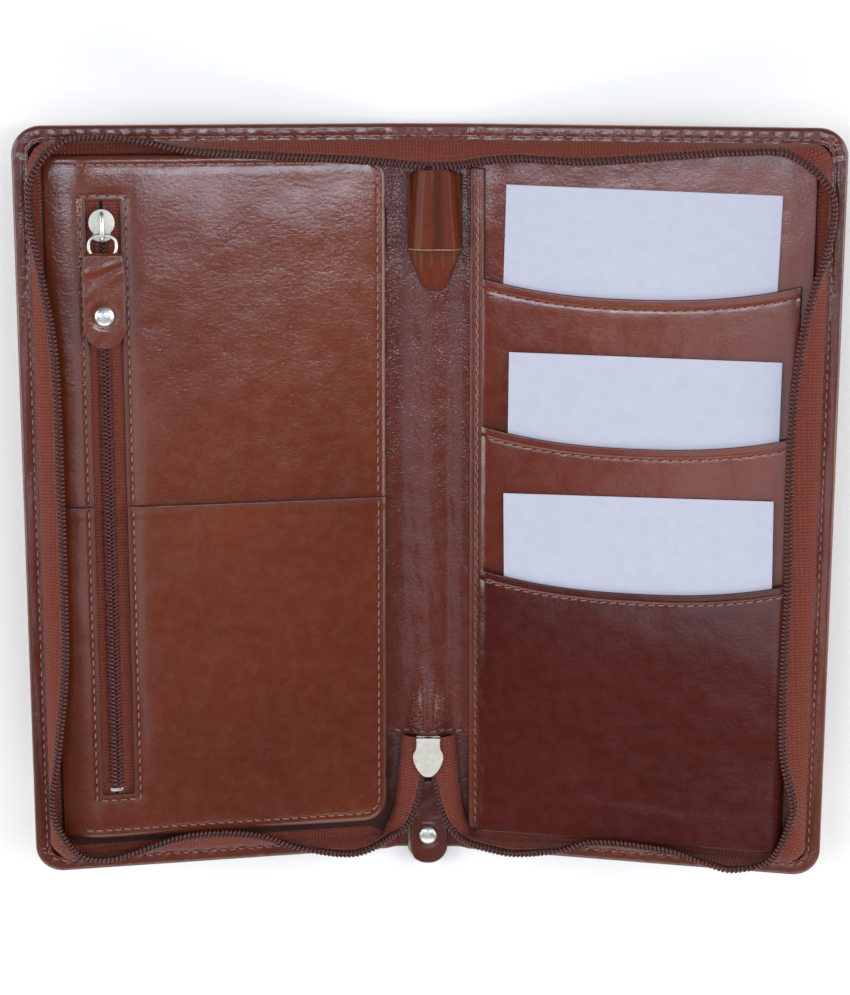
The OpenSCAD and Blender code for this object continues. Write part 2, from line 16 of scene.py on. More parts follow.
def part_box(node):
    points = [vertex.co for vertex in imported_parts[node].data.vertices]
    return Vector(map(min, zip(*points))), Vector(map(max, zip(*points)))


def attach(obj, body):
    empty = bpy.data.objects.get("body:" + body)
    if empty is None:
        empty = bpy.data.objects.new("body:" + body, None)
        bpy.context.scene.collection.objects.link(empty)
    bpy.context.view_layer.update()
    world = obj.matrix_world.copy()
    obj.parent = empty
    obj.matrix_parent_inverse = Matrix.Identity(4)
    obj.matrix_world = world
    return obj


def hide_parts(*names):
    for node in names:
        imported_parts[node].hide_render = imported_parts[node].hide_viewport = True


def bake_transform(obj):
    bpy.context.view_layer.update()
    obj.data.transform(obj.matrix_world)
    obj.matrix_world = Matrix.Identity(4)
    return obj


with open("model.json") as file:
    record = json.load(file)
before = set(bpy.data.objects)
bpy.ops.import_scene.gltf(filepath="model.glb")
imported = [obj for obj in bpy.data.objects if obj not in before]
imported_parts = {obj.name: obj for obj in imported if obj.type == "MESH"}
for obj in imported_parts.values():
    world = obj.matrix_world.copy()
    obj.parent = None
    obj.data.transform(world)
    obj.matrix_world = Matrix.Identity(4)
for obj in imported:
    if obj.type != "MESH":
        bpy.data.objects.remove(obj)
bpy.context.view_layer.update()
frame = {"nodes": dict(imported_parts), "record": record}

MM = 0.001
SIDES = {-1: "left", 1: "right"}
JOINTS = {j["name"]: j for j in frame["record"]["behaviour"]["joints"]}
FOLD = JOINTS["right_cover_fold"]
FOLD_X = FOLD["pos_m"][0] / MM
FOLD_Z = FOLD["pos_m"][2] / MM
RAISE = math.radians(-FOLD["range_deg"][0])
SOFT = 5.0              # half width of the stretch of leather that bends at a fold

# Covers
HALF_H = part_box("spine_cover")[1][1] / MM
EDGE_U = 116.2
CORNER_R = 9.0
BORDER_W = 5.5
BORDER_TOP = 3.8
INNER_V = HALF_H - BORDER_W
INNER_U = EDGE_U - BORDER_W
LINING_W = 3.3

# Page
PAGE_U = (2.0, 101.3)
PAGE_V = (-107.5, 110.2)
PAGE_R = 8.0
ROLL_U = (94.0, 106.9)  # stretch over which the page's front rolls down to its hinge
PASSPORT_V = 1.6
WINDOW_U = (84.4, 94.6)
WINDOW_V = (-92.8, 96.5)
ZIP_U = 90.0
STITCH_IN = 2.9         # from an edge to its row of stitches

# Card panel
PANEL_TOP = 4.1
POCKET_U = (5.0, 104.0)
POCKET_V = (71.4, 24.8, -21.5)
POCKET_LOW = (14.0, -33.0, -110.6)
POCKET_SAG = 5.4
LAYER_STEP = 1.7
CARD = (85.0, 54.0, 0.4)
CARD_U = (11.7, 13.8, 13.3)
CARD_V = (45.6, -5.8, -49.9)
CARD_TILT = (-1.3, -0.3, 0.9)
STRIP_U = (0.9, 6.0)
LEVELS = ("top", "middle", "bottom")
CARD_LIFT = 0.42        # from the panel's edge up to the first card

RNG = np.random.default_rng(7)


# ---------------------------------------------------------------- placing and small maths

def fold(p, side):
    """World millimetres of opened-out points (X, v, w), on side -1 (left) or 1 (right)."""
    p = np.asarray(p, float)
    t = np.clip((p[..., 0] - FOLD_X + SOFT) / (2 * SOFT), 0, 1)
    turn = RAISE * t * t * (3 - 2 * t)
    dx, dz = p[..., 0] - FOLD_X, p[..., 2] - FOLD_Z
    x = FOLD_X + dx * np.cos(turn) - dz * np.sin(turn)
    z = FOLD_Z + dx * np.sin(turn) + dz * np.cos(turn)
    return np.stack([side * x, p[..., 1], z], -1)


def left(p):
    """World millimetres of (u, v, w) on the left cover."""
    return fold(np.asarray(p, float) + (FOLD_X, 0, 0), -1)


def right(p):
    """World millimetres of (u, v, w) on the right cover."""
    return fold(np.asarray(p, float) + (FOLD_X, 0, 0), 1)


def ease(t):
    t = np.clip(t, 0, 1)
    return t * t * (3 - 2 * t)


def ripple(a, b, size, seed, stretch=1.0):
    """Smooth noise of about -1 to 1 over (a, b), with bumps of about size millimetres."""
    rng = np.random.default_rng(seed)
    total = 0
    for _ in range(6):
        way = rng.uniform(0, math.tau)
        k = math.tau / size * rng.uniform(0.6, 1.5)
        total = total + np.sin(k * (np.cos(way) * a * stretch + np.sin(way) * b) + rng.uniform(0, math.tau))
    return total / 3.2


def rounding(d, r):
    """Height lost at distance d from an edge that is rounded to radius r."""
    d = np.clip(d, 0, r)
    return r - np.sqrt(r * r - (r - d) ** 2)


def bell(d, width, height):
    """Height of a soft ridge, or depth of a pressed line, at distance d from its middle."""
    return height * np.exp(-(d / width) ** 2)


def catmull(points, per):
    """Smooth curve through points, with per steps between neighbours."""
    p = np.asarray(points, float)
    p = np.vstack([2 * p[0] - p[1], p, 2 * p[-1] - p[-2]])
    t = np.linspace(0, 1, per, endpoint=False)[:, None]
    out = []
    for i in range(1, len(p) - 2):
        a, b, c, d = p[i - 1], p[i], p[i + 1], p[i + 2]
        out.append(0.5 * (2 * b + (c - a) * t + (2 * a - 5 * b + 4 * c - d) * t ** 2
                          + (3 * b - a - 3 * c + d) * t ** 3))
    return np.vstack([*out, p[-2][None]])


def even(points, step, *others):
    """The curve and the arrays that go with it, resampled at about every step along it."""
    points = np.asarray(points, float)
    s = np.concatenate([[0], np.cumsum(np.linalg.norm(np.diff(points, axis=0), axis=1))])
    n = max(2, int(round(s[-1] / step)) + 1)
    at = np.linspace(0, s[-1], n)
    pick = [np.stack([np.interp(at, s, q[:, k]) for k in range(q.shape[1])], 1)
            for q in (points, *[np.asarray(o, float) for o in others])]
    return pick if others else pick[0]


def unit(v):
    return v / np.maximum(np.linalg.norm(v, axis=-1, keepdims=True), 1e-9)


# ---------------------------------------------------------------- meshes

# Pieces that bend between the spine and a cover: the cover, and where across the spine the bend lies
BENDS = {"fold-left": ("left_cover", SOFT - FOLD_X, -FOLD_X - SOFT),
         "fold-right": ("right_cover", FOLD_X - SOFT, FOLD_X + SOFT), "loop": ("right_cover", 2, 20)}


def link(name, data):
    obj = bpy.data.objects.new(name, data)
    bpy.context.scene.collection.objects.link(obj)
    return obj


def make(name, verts, faces, look, body=None, stands_for=(), sharp=48, edge=None, uv=None):
    """A mesh object from world millimetres. It rides on body; for "fold-..." and "loop" its transform is only
    baked in and it rides on nothing.
    """
    mesh = bpy.data.meshes.new(name)
    verts = np.asarray(verts, float)
    mesh.from_pydata((verts * MM).tolist(), [], outward(verts, faces))
    mesh.materials.append(M[look])
    mesh.shade_smooth()
    if sharp:
        mesh.set_sharp_from_angle(angle=math.radians(sharp))
    # The edge attribute darkens leather: burnished edges, and on the pen loop painted shade in its fold
    # valleys.
    if edge is not None:
        values = mesh.attributes.new("edge", "FLOAT", "POINT").data
        values.foreach_set("value", np.asarray(edge, np.float32))
    if uv is not None:
        layer = mesh.uv_layers.new(name="UVMap")
        corner = np.empty(len(mesh.loops), np.int32)
        mesh.loops.foreach_get("vertex_index", corner)
        layer.data.foreach_set("uv", np.asarray(uv, np.float32)[corner].ravel())
    obj = link(name, mesh)
    if body in BENDS:
        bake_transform(obj)
    elif body:
        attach(obj, body)
    if stands_for:
        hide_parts(*stands_for)
    return obj


def outward(verts, faces):
    """The faces, all turned over if together they enclose a negative volume."""
    corner = np.array([[f[0], f[k], f[k + 1]] for f in faces for k in range(1, len(f) - 1)])
    p = verts - verts.mean(0)
    volume = (p[corner[:, 0]] * np.cross(p[corner[:, 1]], p[corner[:, 2]])).sum()
    return [f[::-1] for f in faces] if volume < 0 else faces


def grid_faces(rows, cols, start=0, wrap=False):
    """Quads of a rows x cols grid of vertices; wrap joins the last column to the first."""
    i, j = np.meshgrid(np.arange(rows - 1), np.arange(cols if wrap else cols - 1), indexing="ij")
    k = (j + 1) % cols
    quads = np.stack([i * cols + j, i * cols + k, (i + 1) * cols + k, (i + 1) * cols + j], -1)
    return (quads.reshape(-1, 4) + start).tolist()


def slab(a, b, top, bottom, keep=None):
    """Vertices (a, b, w), faces and number of wall faces of a closed layer; keep marks cells that exist."""
    rows, cols = a.shape
    if keep is None:
        keep = np.ones((rows - 1, cols - 1), bool)
    n = rows * cols
    verts = np.concatenate([np.stack([a, b, w], -1).reshape(-1, 3) for w in (top, bottom)])
    i, j = np.nonzero(keep)
    at = i * cols + j
    quad = np.stack([at, at + cols, at + cols + 1, at + 1], 1)
    faces = [quad, quad[:, ::-1] + n]
    around = np.pad(keep, 1)
    walls = 0
    for di, dj, p, q in ((-1, 0, 3, 0), (0, 1, 2, 3), (1, 0, 1, 2), (0, -1, 0, 1)):
        rim = quad[~around[i + 1 + di, j + 1 + dj]]
        walls += len(rim)
        faces.append(np.stack([rim[:, q], rim[:, p], rim[:, p] + n, rim[:, q] + n], 1))
    return verts, np.concatenate(faces).tolist(), walls


def used(verts, faces, *extra):
    """Drops vertices that no face uses."""
    index = np.unique(np.concatenate([np.asarray(f) for f in faces]))
    back = np.full(len(verts), -1)
    back[index] = np.arange(len(index))
    return (verts[index], [[int(back[i]) for i in f] for f in faces], *[np.asarray(e)[index] for e in extra])


def tube(path, radius, sides=8, close=False, squash=1.0, up=(0, 0, 1)):
    """Vertices and faces of a tube along a path; radius may differ from point to point."""
    path = np.asarray(path, float)
    ahead = np.roll(path, -1, 0) - np.roll(path, 1, 0)
    if not close:
        ahead[0], ahead[-1] = path[1] - path[0], path[-1] - path[-2]
    ahead = unit(ahead)
    across = unit(np.cross(np.broadcast_to(np.asarray(up, float), ahead.shape), ahead))
    lift = np.cross(ahead, across)
    turn = np.linspace(0, math.tau, sides, endpoint=False)
    r = np.broadcast_to(np.asarray(radius, float), (len(path),))[:, None, None]
    c, s = np.cos(turn)[None, :, None], np.sin(turn)[None, :, None]
    verts = (path[:, None] + r * (across[:, None] * c + squash * lift[:, None] * s)).reshape(-1, 3)
    faces = grid_faces(len(path), sides, wrap=True)
    if close:
        last = (len(path) - 1) * sides
        faces += [[last + j, last + (j + 1) % sides, (j + 1) % sides, j] for j in range(sides)]
    else:
        faces.append(list(range(sides))[::-1])
        faces.append([(len(path) - 1) * sides + j for j in range(sides)])
    return verts, faces


def join(parts):
    """One list of vertices and faces from several."""
    verts, faces, base = [], [], 0
    for v, f in parts:
        verts.append(v)
        faces += [[i + base for i in face] for face in f]
        base += len(v)
    return np.vstack(verts), faces


# ---------------------------------------------------------------- materials

class Look:
    """A new material round its Principled shader, with short ways to add nodes to it."""

    def __init__(self, name):
        self.material = bpy.data.materials.new(name)
        self.material.use_nodes = True
        self.nodes, self.links = self.material.node_tree.nodes, self.material.node_tree.links
        self.shader = self.nodes["Principled BSDF"]

    def node(self, kind, **settings):
        n = self.nodes.new("ShaderNode" + kind)
        for key, value in settings.items():
            setattr(n, key, value)
        return n

    def feed(self, socket, value):
        """Links a socket's value, or sets a number or colour."""
        if isinstance(value, (int, float)):
            socket.default_value = value
        elif isinstance(value, tuple):
            socket.default_value = (*value, 1)
        elif value is not None:
            self.links.new(value, socket)

    def fill(self, node, **values):
        """Sets or links a node's inputs, named with _ for a space."""
        for key, value in values.items():
            self.feed(node.inputs[key.replace("_", " ")], value)

    def set(self, **values):
        self.fill(self.shader, **values)

    def place(self):
        return self.node("TexCoord").outputs["Object"]

    def moved(self, vector, socket, value):
        mapping = self.node("Mapping")
        mapping.inputs[socket].default_value = value
        self.fill(mapping, Vector=vector)
        return mapping.outputs["Vector"]

    def noise(self, vector, scale, detail=2.0, rough=0.5):
        n = self.node("TexNoise")
        self.fill(n, Scale=scale, Detail=detail, Roughness=rough, Vector=vector)
        return n.outputs["Fac"]

    def ramp(self, factor, stops):
        """Colour ramp with stops of (place, colour)."""
        r = self.node("ValToRGB")
        ends = r.color_ramp.elements
        for end, (place, colour) in ((ends[0], stops[0]), (ends[1], stops[-1])):
            end.position, end.color = place, (*colour, 1)
        for place, colour in stops[1:-1]:
            ends.new(place).color = (*colour, 1)
        self.links.new(factor, r.inputs["Fac"])
        return r.outputs["Color"]

    def math(self, kind, a, b, clamp=False):
        n = self.node("Math", operation=kind, use_clamp=clamp)
        self.feed(n.inputs[0], a)
        self.feed(n.inputs[1], b)
        return n.outputs[0]

    def mix(self, factor, a, b, kind="MIX"):
        n = self.node("Mix", data_type="RGBA", blend_type=kind)
        for at, value in ((0, factor), (6, a), (7, b)):
            self.feed(n.inputs[at], value)
        return n.outputs[2]

    def bump(self, height, strength, distance, normal=None):
        n = self.node("Bump")
        self.fill(n, Strength=strength, Distance=distance, Height=height, Normal=normal)
        return n.outputs["Normal"]


def leather(name, tone, seed=0.0, gloss=0.19, creases=0.18, grain=0.09, cells=1500, burnish_and_shade=0.55,
            shine=0.5):
    """Glazed leather round one tone: soft patches, pores, hairline creases and edges darkened by the edge
    attribute, which carries burnished edges and, on the pen loop, painted shade in its fold valleys.
    """
    k = Look(name)
    where = k.moved(k.place(), "Location", (seed, seed * 0.7, seed * 0.3))
    r, g, b = tone
    patch = k.noise(where, 11, 3, 0.5)
    mottle = k.noise(where, 240, 5, 0.65)
    blend = k.math("ADD", patch, k.math("MULTIPLY", mottle, 0.3))
    colour = k.ramp(blend, [(0.38, (r * 0.74, g * 0.62, b * 0.6)), (0.64, tone),
                            (0.9, (r * 1.28, g * 1.5, b * 1.55))])
    cell = k.node("TexVoronoi", feature="DISTANCE_TO_EDGE")
    k.fill(cell, Scale=cells, Vector=where)
    hair = k.noise(k.moved(where, "Scale", (0.75, 1.0, 1.0)), 900, 2, 0.55)
    pores = k.ramp(cell.outputs["Distance"], [(0.0, (0.7, 0.66, 0.66)), (0.16, (1, 1, 1))])
    colour = k.mix(0.4, colour, pores, "MULTIPLY")
    # Darkened by the edge attribute: burnished edges, and painted shade in the pen loop's fold valleys.
    rim = k.node("Attribute", attribute_name="edge").outputs["Fac"]
    colour = k.mix(k.math("MULTIPLY", rim, burnish_and_shade, clamp=True), colour, (r * 0.3, g * 0.25, b * 0.3))
    rough = k.ramp(mottle, [(0.3, (gloss - 0.05,) * 3), (0.75, (gloss + 0.08,) * 3)])
    dull = k.mix(k.math("MULTIPLY", rim, 0.9, clamp=True), rough, (0.55,) * 3)
    fine = k.bump(hair, creases, 0.0003, k.bump(cell.outputs["Distance"], grain, 0.0002))
    soft = k.bump(k.noise(where, 60, 2), 0.4, 0.0012, fine)
    k.set(Base_Color=colour, Roughness=dull, Normal=soft, Specular_IOR_Level=shine, Coat_Weight=0.6 * shine,
          Coat_Roughness=0.14)
    return k.material


def woven(name, dark, light, along=0.31, across=0.6, sheen=0.12):
    """Woven tape: ribs across it and fine diagonal yarns, from the piece's own UVs in millimetres."""
    k = Look(name)
    uv = k.node("UVMap", uv_map="UVMap").outputs["UV"]
    waves = []
    for way, scale, distortion, detail in (("X", along, 0.8, 1.5), ("DIAGONAL", across, 1.5, 2.0)):
        wave = k.node("TexWave", wave_type="BANDS", bands_direction=way)
        k.fill(wave, Scale=scale, Distortion=distortion, Detail=detail, Vector=uv)
        waves.append(wave.outputs["Fac"])
    fuzz = k.noise(k.place(), 900, 3, 0.7)
    weave = k.math("MULTIPLY", *waves)
    mixed = k.math("ADD", k.math("MULTIPLY", weave, 0.55), k.math("MULTIPLY", fuzz, 0.5))
    k.set(Base_Color=k.ramp(mixed, [(0.2, dark), (0.7, light)]), Roughness=0.78, Specular_IOR_Level=0.25,
          Sheen_Weight=sheen, Sheen_Roughness=0.4,
          Normal=k.bump(fuzz, 0.3, 0.0002, k.bump(weave, 0.55, 0.0003)))
    return k.material


def plain(name, dark, light, scale, rough, metal=0.0, strength=0.15, depth=0.0001, stops=(0.35, 0.65)):
    """A material of two close tones with matching bump, for metal, thread, nylon, card and board."""
    k = Look(name)
    fac = k.noise(k.place(), scale, 4, 0.6)
    k.set(Base_Color=k.ramp(fac, [(stops[0], dark), (stops[1], light)]),
          Roughness=k.ramp(fac, [(0.3, (rough * 0.8,) * 3), (0.7, (min(1, rough * 1.2),) * 3)]),
          Metallic=metal, Normal=k.bump(fac, strength, depth))
    return k.material


M = {
    "outer": leather("leather_outer", (0.125, 0.027, 0.015), 0.0, creases=0.4),
    "page": leather("leather_page", (0.130, 0.025, 0.009), 1.7, gloss=0.22, creases=0.28, grain=0.13),
    "panel": leather("leather_panel", (0.146, 0.029, 0.015), 3.1),
    "pocket": leather("leather_pocket", (0.124, 0.023, 0.008), 2.4, gloss=0.25),
    "pull": leather("leather_pull", (0.095, 0.021, 0.014), 4.4),
    "dark": leather("leather_dark", (0.074, 0.0105, 0.0065), 5.3),
    "spine": leather("leather_spine", (0.112, 0.022, 0.013), 7.9, gloss=0.22, creases=0.4, grain=0.5,
                     cells=950, shine=0.4),
    "loop": leather("leather_loop", (0.140, 0.026, 0.007), 9.2, gloss=0.42, creases=0.5, shine=0.15),
    "tape": woven("zip_tape", (0.106, 0.018, 0.0105), (0.225, 0.050, 0.028)),
    "coil": plain("zip_coil", (0.048, 0.006, 0.005), (0.105, 0.016, 0.013), 700, 0.42),
    "seam": plain("zip_seam", (0.016, 0.003, 0.003), (0.036, 0.008, 0.007), 900, 0.7),
    "cord": plain("tape_edge", (0.075, 0.014, 0.010), (0.200, 0.055, 0.036), 1300, 0.7, strength=0.5),
    "lining": woven("lining", (0.030, 0.009, 0.007), (0.064, 0.022, 0.017), 0.5, 0.5, 0.05),
    "nickel": plain("nickel", (0.58, 0.56, 0.52), (0.74, 0.72, 0.68), 500, 0.34, 0.82, 0.08),
    "worn": plain("nickel_worn", (0.60, 0.57, 0.50), (0.70, 0.67, 0.60), 650, 0.5, 0.45, 0.15, 0.0001),
    "thread": plain("thread", (0.230, 0.080, 0.052), (0.390, 0.165, 0.112), 1500, 0.6, strength=0.5),
    # Painted shade: near-black discs stand in for the shade inside the needle holes.
    "hole": plain("needle_hole_shade", (0.010, 0.002, 0.002), (0.025, 0.006, 0.005), 900, 0.7),
    "card": plain("card_stock", (0.485, 0.492, 0.600), (0.515, 0.522, 0.630), 260, 0.55, strength=0.12),
    "cut": plain("cut_edge", (0.22, 0.13, 0.09), (0.42, 0.30, 0.23), 700, 0.7, strength=0.3),
    "board": plain("board", (0.26, 0.22, 0.17), (0.36, 0.31, 0.25), 300, 0.9),
}


# ---------------------------------------------------------------- stitches

def stitch_row(name, path, place, body, up=1, lift=0.12, pitch=3.0, length=2.2, radius=0.23, slant=0.10):
    """Lockstitches along path, a curve in (a, b, w) lying on a surface; place takes it to the world. A dark
    disc at each needle hole paints the shade inside the hole.
    """
    path = np.asarray(path, float)
    s = np.concatenate([[0], np.cumsum(np.linalg.norm(np.diff(path, axis=0), axis=1))])
    count = max(1, int(s[-1] / pitch))
    at = (np.arange(count) + 0.5) * s[-1] / count
    mid = np.stack([np.interp(at, s, path[:, k]) for k in range(3)], 1)
    ahead = unit(np.stack([np.interp(at + 0.6, s, path[:, k]) - np.interp(at - 0.6, s, path[:, k])
                           for k in range(3)], 1))
    up = np.array([0.0, 0.0, float(up)])
    side = unit(np.cross(up, ahead))
    rings = np.linspace(-1, 1, 7)
    turn = np.linspace(0, math.tau, 6, endpoint=False)
    threads, hole_shades = [], []
    tilt = slant * RNG.uniform(0.6, 1.4, count)
    for c, t, b, q in zip(mid, ahead, side, tilt):
        t2 = unit(t + b * q)
        b2 = unit(b - t * q)
        arch = lift + 0.14 * (1 - rings ** 2) - 0.16 * rings ** 4
        spine = c + t2 * (rings * length / 2)[:, None] + up * arch[:, None]
        r = radius * np.sqrt(np.clip(1.08 - rings ** 4, 0.05, 1))
        ring = b2 * np.cos(turn)[:, None] + up * 0.8 * np.sin(turn)[:, None]
        threads.append((spine[:, None] + r[:, None, None] * ring[None]).reshape(-1, 3))
        # Painted shade: a flat dark disc where the thread goes into its hole.
        h = c + t * pitch / 2
        disc = np.stack([h + (t * np.cos(a) + b * np.sin(a)) * 0.33 for a in turn])
        hole_shades.append(np.vstack([disc + up * 0.01, h + up * 0.05]))
    n = len(rings) * 6
    body_faces = grid_faces(len(rings), 6, wrap=True) + [[5, 4, 3, 2, 1, 0], [n - 6 + j for j in range(6)]]
    cap_faces = [[j, (j + 1) % 6, 6] for j in range(6)]
    verts, faces = join([(v, body_faces) for v in threads] + [(v, cap_faces) for v in hole_shades])
    obj = make(name, place(verts), faces, "thread", body)
    obj.data.materials.append(M["hole"])
    first = count * len(body_faces)
    index = np.zeros(len(obj.data.polygons), np.int32)
    index[first:] = 1
    obj.data.polygons.foreach_set("material_index", index)
    return obj


def on_surface(points, height):
    """A path of (a, b) points, sampled finely and laid on the surface height(a, b)."""
    p = even(np.asarray(points, float), 0.8)
    return np.column_stack([p, height(p[:, 0], p[:, 1])])


# ---------------------------------------------------------------- leather layers

NEAR = (0, 0.1, 0.25, 0.5, 0.85, 1.3, 1.9, 2.5, 2.9, 3.3, 4.0)


def box_inset(a, b, low, high, radii=(0, 0, 0, 0)):
    """Distance inwards from a rectangle with rounded corners, radii from (low, low) anticlockwise."""
    mid, half = (np.array(low) + high) / 2, (np.array(high) - low) / 2
    x, y = a - mid[0], b - mid[1]
    r = np.where(x < 0, np.where(y < 0, radii[0], radii[3]), np.where(y < 0, radii[1], radii[2]))
    qx, qy = np.abs(x) - half[0] + r, np.abs(y) - half[1] + r
    return r - np.minimum(np.maximum(qx, qy), 0) - np.hypot(np.maximum(qx, 0), np.maximum(qy, 0))


def corner_drop(u, low, high, r_low, r_high):
    """How far rounded corners at both ends of u cut into the outline's v ends."""
    near_low = np.clip(low + r_low - u, 0, r_low)
    near_high = np.clip(u - high + r_high, 0, r_high)
    cut = lambda r, x: r - np.sqrt(np.maximum(r * r - x * x, 0)) if r else 0 * x
    return cut(r_low, near_low) + cut(r_high, near_high)


def grid_of(columns, low, high, near=NEAR, step=2.4):
    """Grid (a, b) with a constant along each row of the array and b from low(a) to high(a)."""
    columns = np.asarray(columns, float)
    lo, hi = np.broadcast_to(low, columns.shape), np.broadcast_to(high, columns.shape)
    near = np.array(near)
    count = max(3, int(((hi - lo).max() - 2 * near[-1]) / step))
    t = np.linspace(0, 1, count + 1)[1:-1]
    rows = [np.concatenate([l + near, l + near[-1] + t * (h - l - 2 * near[-1]), (h - near)[::-1]])
            for l, h in zip(lo, hi)]
    b = np.array(rows)
    return np.repeat(columns[:, None], b.shape[1], 1), b


def layer(name, place, body, a, b, top, thick, inset, look, stands_for=(), keep=None, edge_r=0.3,
          wall=None, burn=0.9, bottom=None):
    """A closed leather layer over grid (a, b). top is its face before its edges are rounded."""
    r = min(edge_r, 0.49 * thick)
    under = (top - thick if bottom is None else bottom) + rounding(inset, r)
    verts, faces, walls = slab(a, b, top - rounding(inset, edge_r), under, keep)
    burnt = np.exp(-(np.maximum(inset, 0) / burn) ** 2).ravel()
    burnt = np.concatenate([burnt, burnt])
    order = np.concatenate([np.zeros(len(faces) - walls, int), np.ones(walls, int)])
    verts, faces, burnt = used(verts, faces, burnt)
    obj = make(name, place(verts), faces, look, body, stands_for, edge=burnt)
    if wall:
        obj.data.materials.append(M[wall])
        obj.data.polygons.foreach_set("material_index", order.astype(np.int32))
    return obj


def columns(low, high, near_low=NEAR, near_high=NEAR, step=2.0, extra=()):
    """Column places from low to high, close together near both ends, with extra ones where asked."""
    inner = np.linspace(low + near_low[-1], high - near_high[-1],
                        max(3, int((high - low - near_low[-1] - near_high[-1]) / step)))
    parts = [low + np.array(near_low), inner, high - np.array(near_high)]
    base = np.concatenate(parts)
    extra = np.asarray(extra, float)
    if len(extra):
        base = base[np.min(np.abs(base[:, None] - extra[None]), 1) > 0.08]
    return np.unique(np.round(np.concatenate([base, extra]), 4))


# ---------------------------------------------------------------- covers

BORDER_NEAR = (0, 0.1, 0.3, 0.6, 1.0, 1.5, 2.1, 2.7, 3.2, 3.6, 4.0, 4.5, 4.9, 5.2, 5.45, 5.55)
CORNER_NEAR = BORDER_NEAR + (6.2, 7.0, 8.0, 9.2)
BORDER_STITCH = 3.7
X_EDGE = FOLD_X + EDGE_U
LEATHER_T = 1.2


def border_height(x, v, d, wobble):
    """Top of the outer leather at distance d inside the outline: the turned border, then the inside.
    At the spine's lower end the border is pressed flat, where the zip's pull comes out."""
    top = BORDER_TOP - rounding(d, 1.15) - bell(d - BORDER_STITCH, 0.45, 0.16)
    top = top + wobble * ease(d / 1.2) * ease((5.2 - d) / 1.2)
    step = ease((d - 4.9) / 0.6)
    top = top * (1 - step) + LEATHER_T * step
    flat_end = (v < 0) * (1 - ease((x - 9.5) / 5))
    return top * (1 - flat_end) + np.minimum(top, 1.5 - rounding(d, 0.6)) * flat_end


def crimp(s, d, seed):
    """Fine wrinkles that run across the turned border, at place s along it."""
    rng = np.random.default_rng(seed)
    total = 0
    for size, high in ((1.3, 0.035), (2.3, 0.07), (4.7, 0.08)):
        phase = rng.uniform(0, math.tau)
        total = total + high * np.sin(math.tau * s / size + phase + 1.6 * np.sin(s / 17 + phase) + 0.5 * d)
    return total


def cover_half(side):
    """The outer leather from the middle of the spine to one outer edge."""
    x = columns(0, X_EDGE, (0, 1.0), CORNER_NEAR, 1.1, extra=(FOLD_X - 2, FOLD_X, FOLD_X + 2))
    reach = HALF_H - corner_drop(x, -99, X_EDGE, 0, CORNER_R)
    a, b = grid_of(x, -reach, reach, CORNER_NEAR, 2.2)
    d = box_inset(a, b, (-X_EDGE, -HALF_H), (X_EDGE, HALF_H), (CORNER_R,) * 4)
    along = np.where(HALF_H - np.abs(b) < X_EDGE - a, a, b)
    top = border_height(a, b, d, crimp(along, d, 40))
    hinge = bell(a - FOLD_X, 2.0, 0.25)
    flat_end = (b < 0) * (1 - ease((a - 9.5) / 5))
    wave = 0.05 * ripple(a, b, 45, 50 + side) * ease(d / 9)
    under = rounding(d, 1.6) * (1 - 0.75 * flat_end) + hinge + wave
    under = under + bell(d - BORDER_STITCH, 0.5, 0.14)
    verts, faces, _ = slab(a, b, top, np.minimum(under, top - 0.4))
    burnt = np.exp(-((d - 0.6) / 0.8) ** 2).ravel() * 0.5
    which = SIDES[side]
    body = "fold-" + which
    nodes = [which + "_cover_leather"] + (["spine_cover"] if side < 0 else [])
    make(f"{which}_outer_leather", fold(verts, side), faces, "outer", body, nodes, edge=np.tile(burnt, 2))
    rim_stitches(side, which, body)


def rounded_route(side_x, v, r, start, end):
    """Route from (start, -v) round the outer side to (end, v), with corners of radius r."""
    turn = np.linspace(-math.pi / 2, 0, 12)
    low = np.stack([side_x - r + r * np.cos(turn), -v + r + r * np.sin(turn)], 1)
    high = np.stack([low[::-1, 0], -low[::-1, 1]], 1)
    return np.vstack([[[start, -v]], low, high, [[end, v]]])


def rim_stitches(side, which, body):
    """Stitches along the border, inside and outside; none where the pull lies across the spine."""
    route = rounded_route(X_EDGE - BORDER_STITCH, HALF_H - BORDER_STITCH, CORNER_R - BORDER_STITCH, 16, 0.6)
    place = lambda p: fold(p, side)
    top = on_surface(route, lambda x, v: np.full_like(x, BORDER_TOP - 0.15))
    stitch_row(f"{which}_rim_stitches_inside", top, place, body, length=1.9)
    low = on_surface(route, lambda x, v: bell(x - FOLD_X, 2.0, 0.25) + 0.08)
    stitch_row(f"{which}_rim_stitches_outside", low, place, body, up=-1, length=1.9)


def cover_lining(side):
    which = SIDES[side]
    place = left if side < 0 else right
    u = columns(1.2, INNER_U - 0.1, (0, 0.6), (0, 0.6, 1.5, 3, 4.5), 6)
    reach = INNER_V - 0.1 - corner_drop(u, -99, INNER_U - 0.1, 0, 4.5)
    a, b = grid_of(u, -reach, reach, (0, 0.6, 2), 6)
    top = LINING_W + 0.03 * ripple(a, b, 22, 60 + side)
    verts, faces, _ = slab(a, b, top, top - 0.35)
    obj = make(f"{which}_lining_cloth", place(verts), faces, "lining", f"{which}_cover",
               [f"{which}_cover_lining"], uv=np.tile(np.stack([a, b], -1).reshape(-1, 2), (2, 1)))


# ---------------------------------------------------------------- spine

LINING_Z = 2.4
LINING_LOW = -79.6


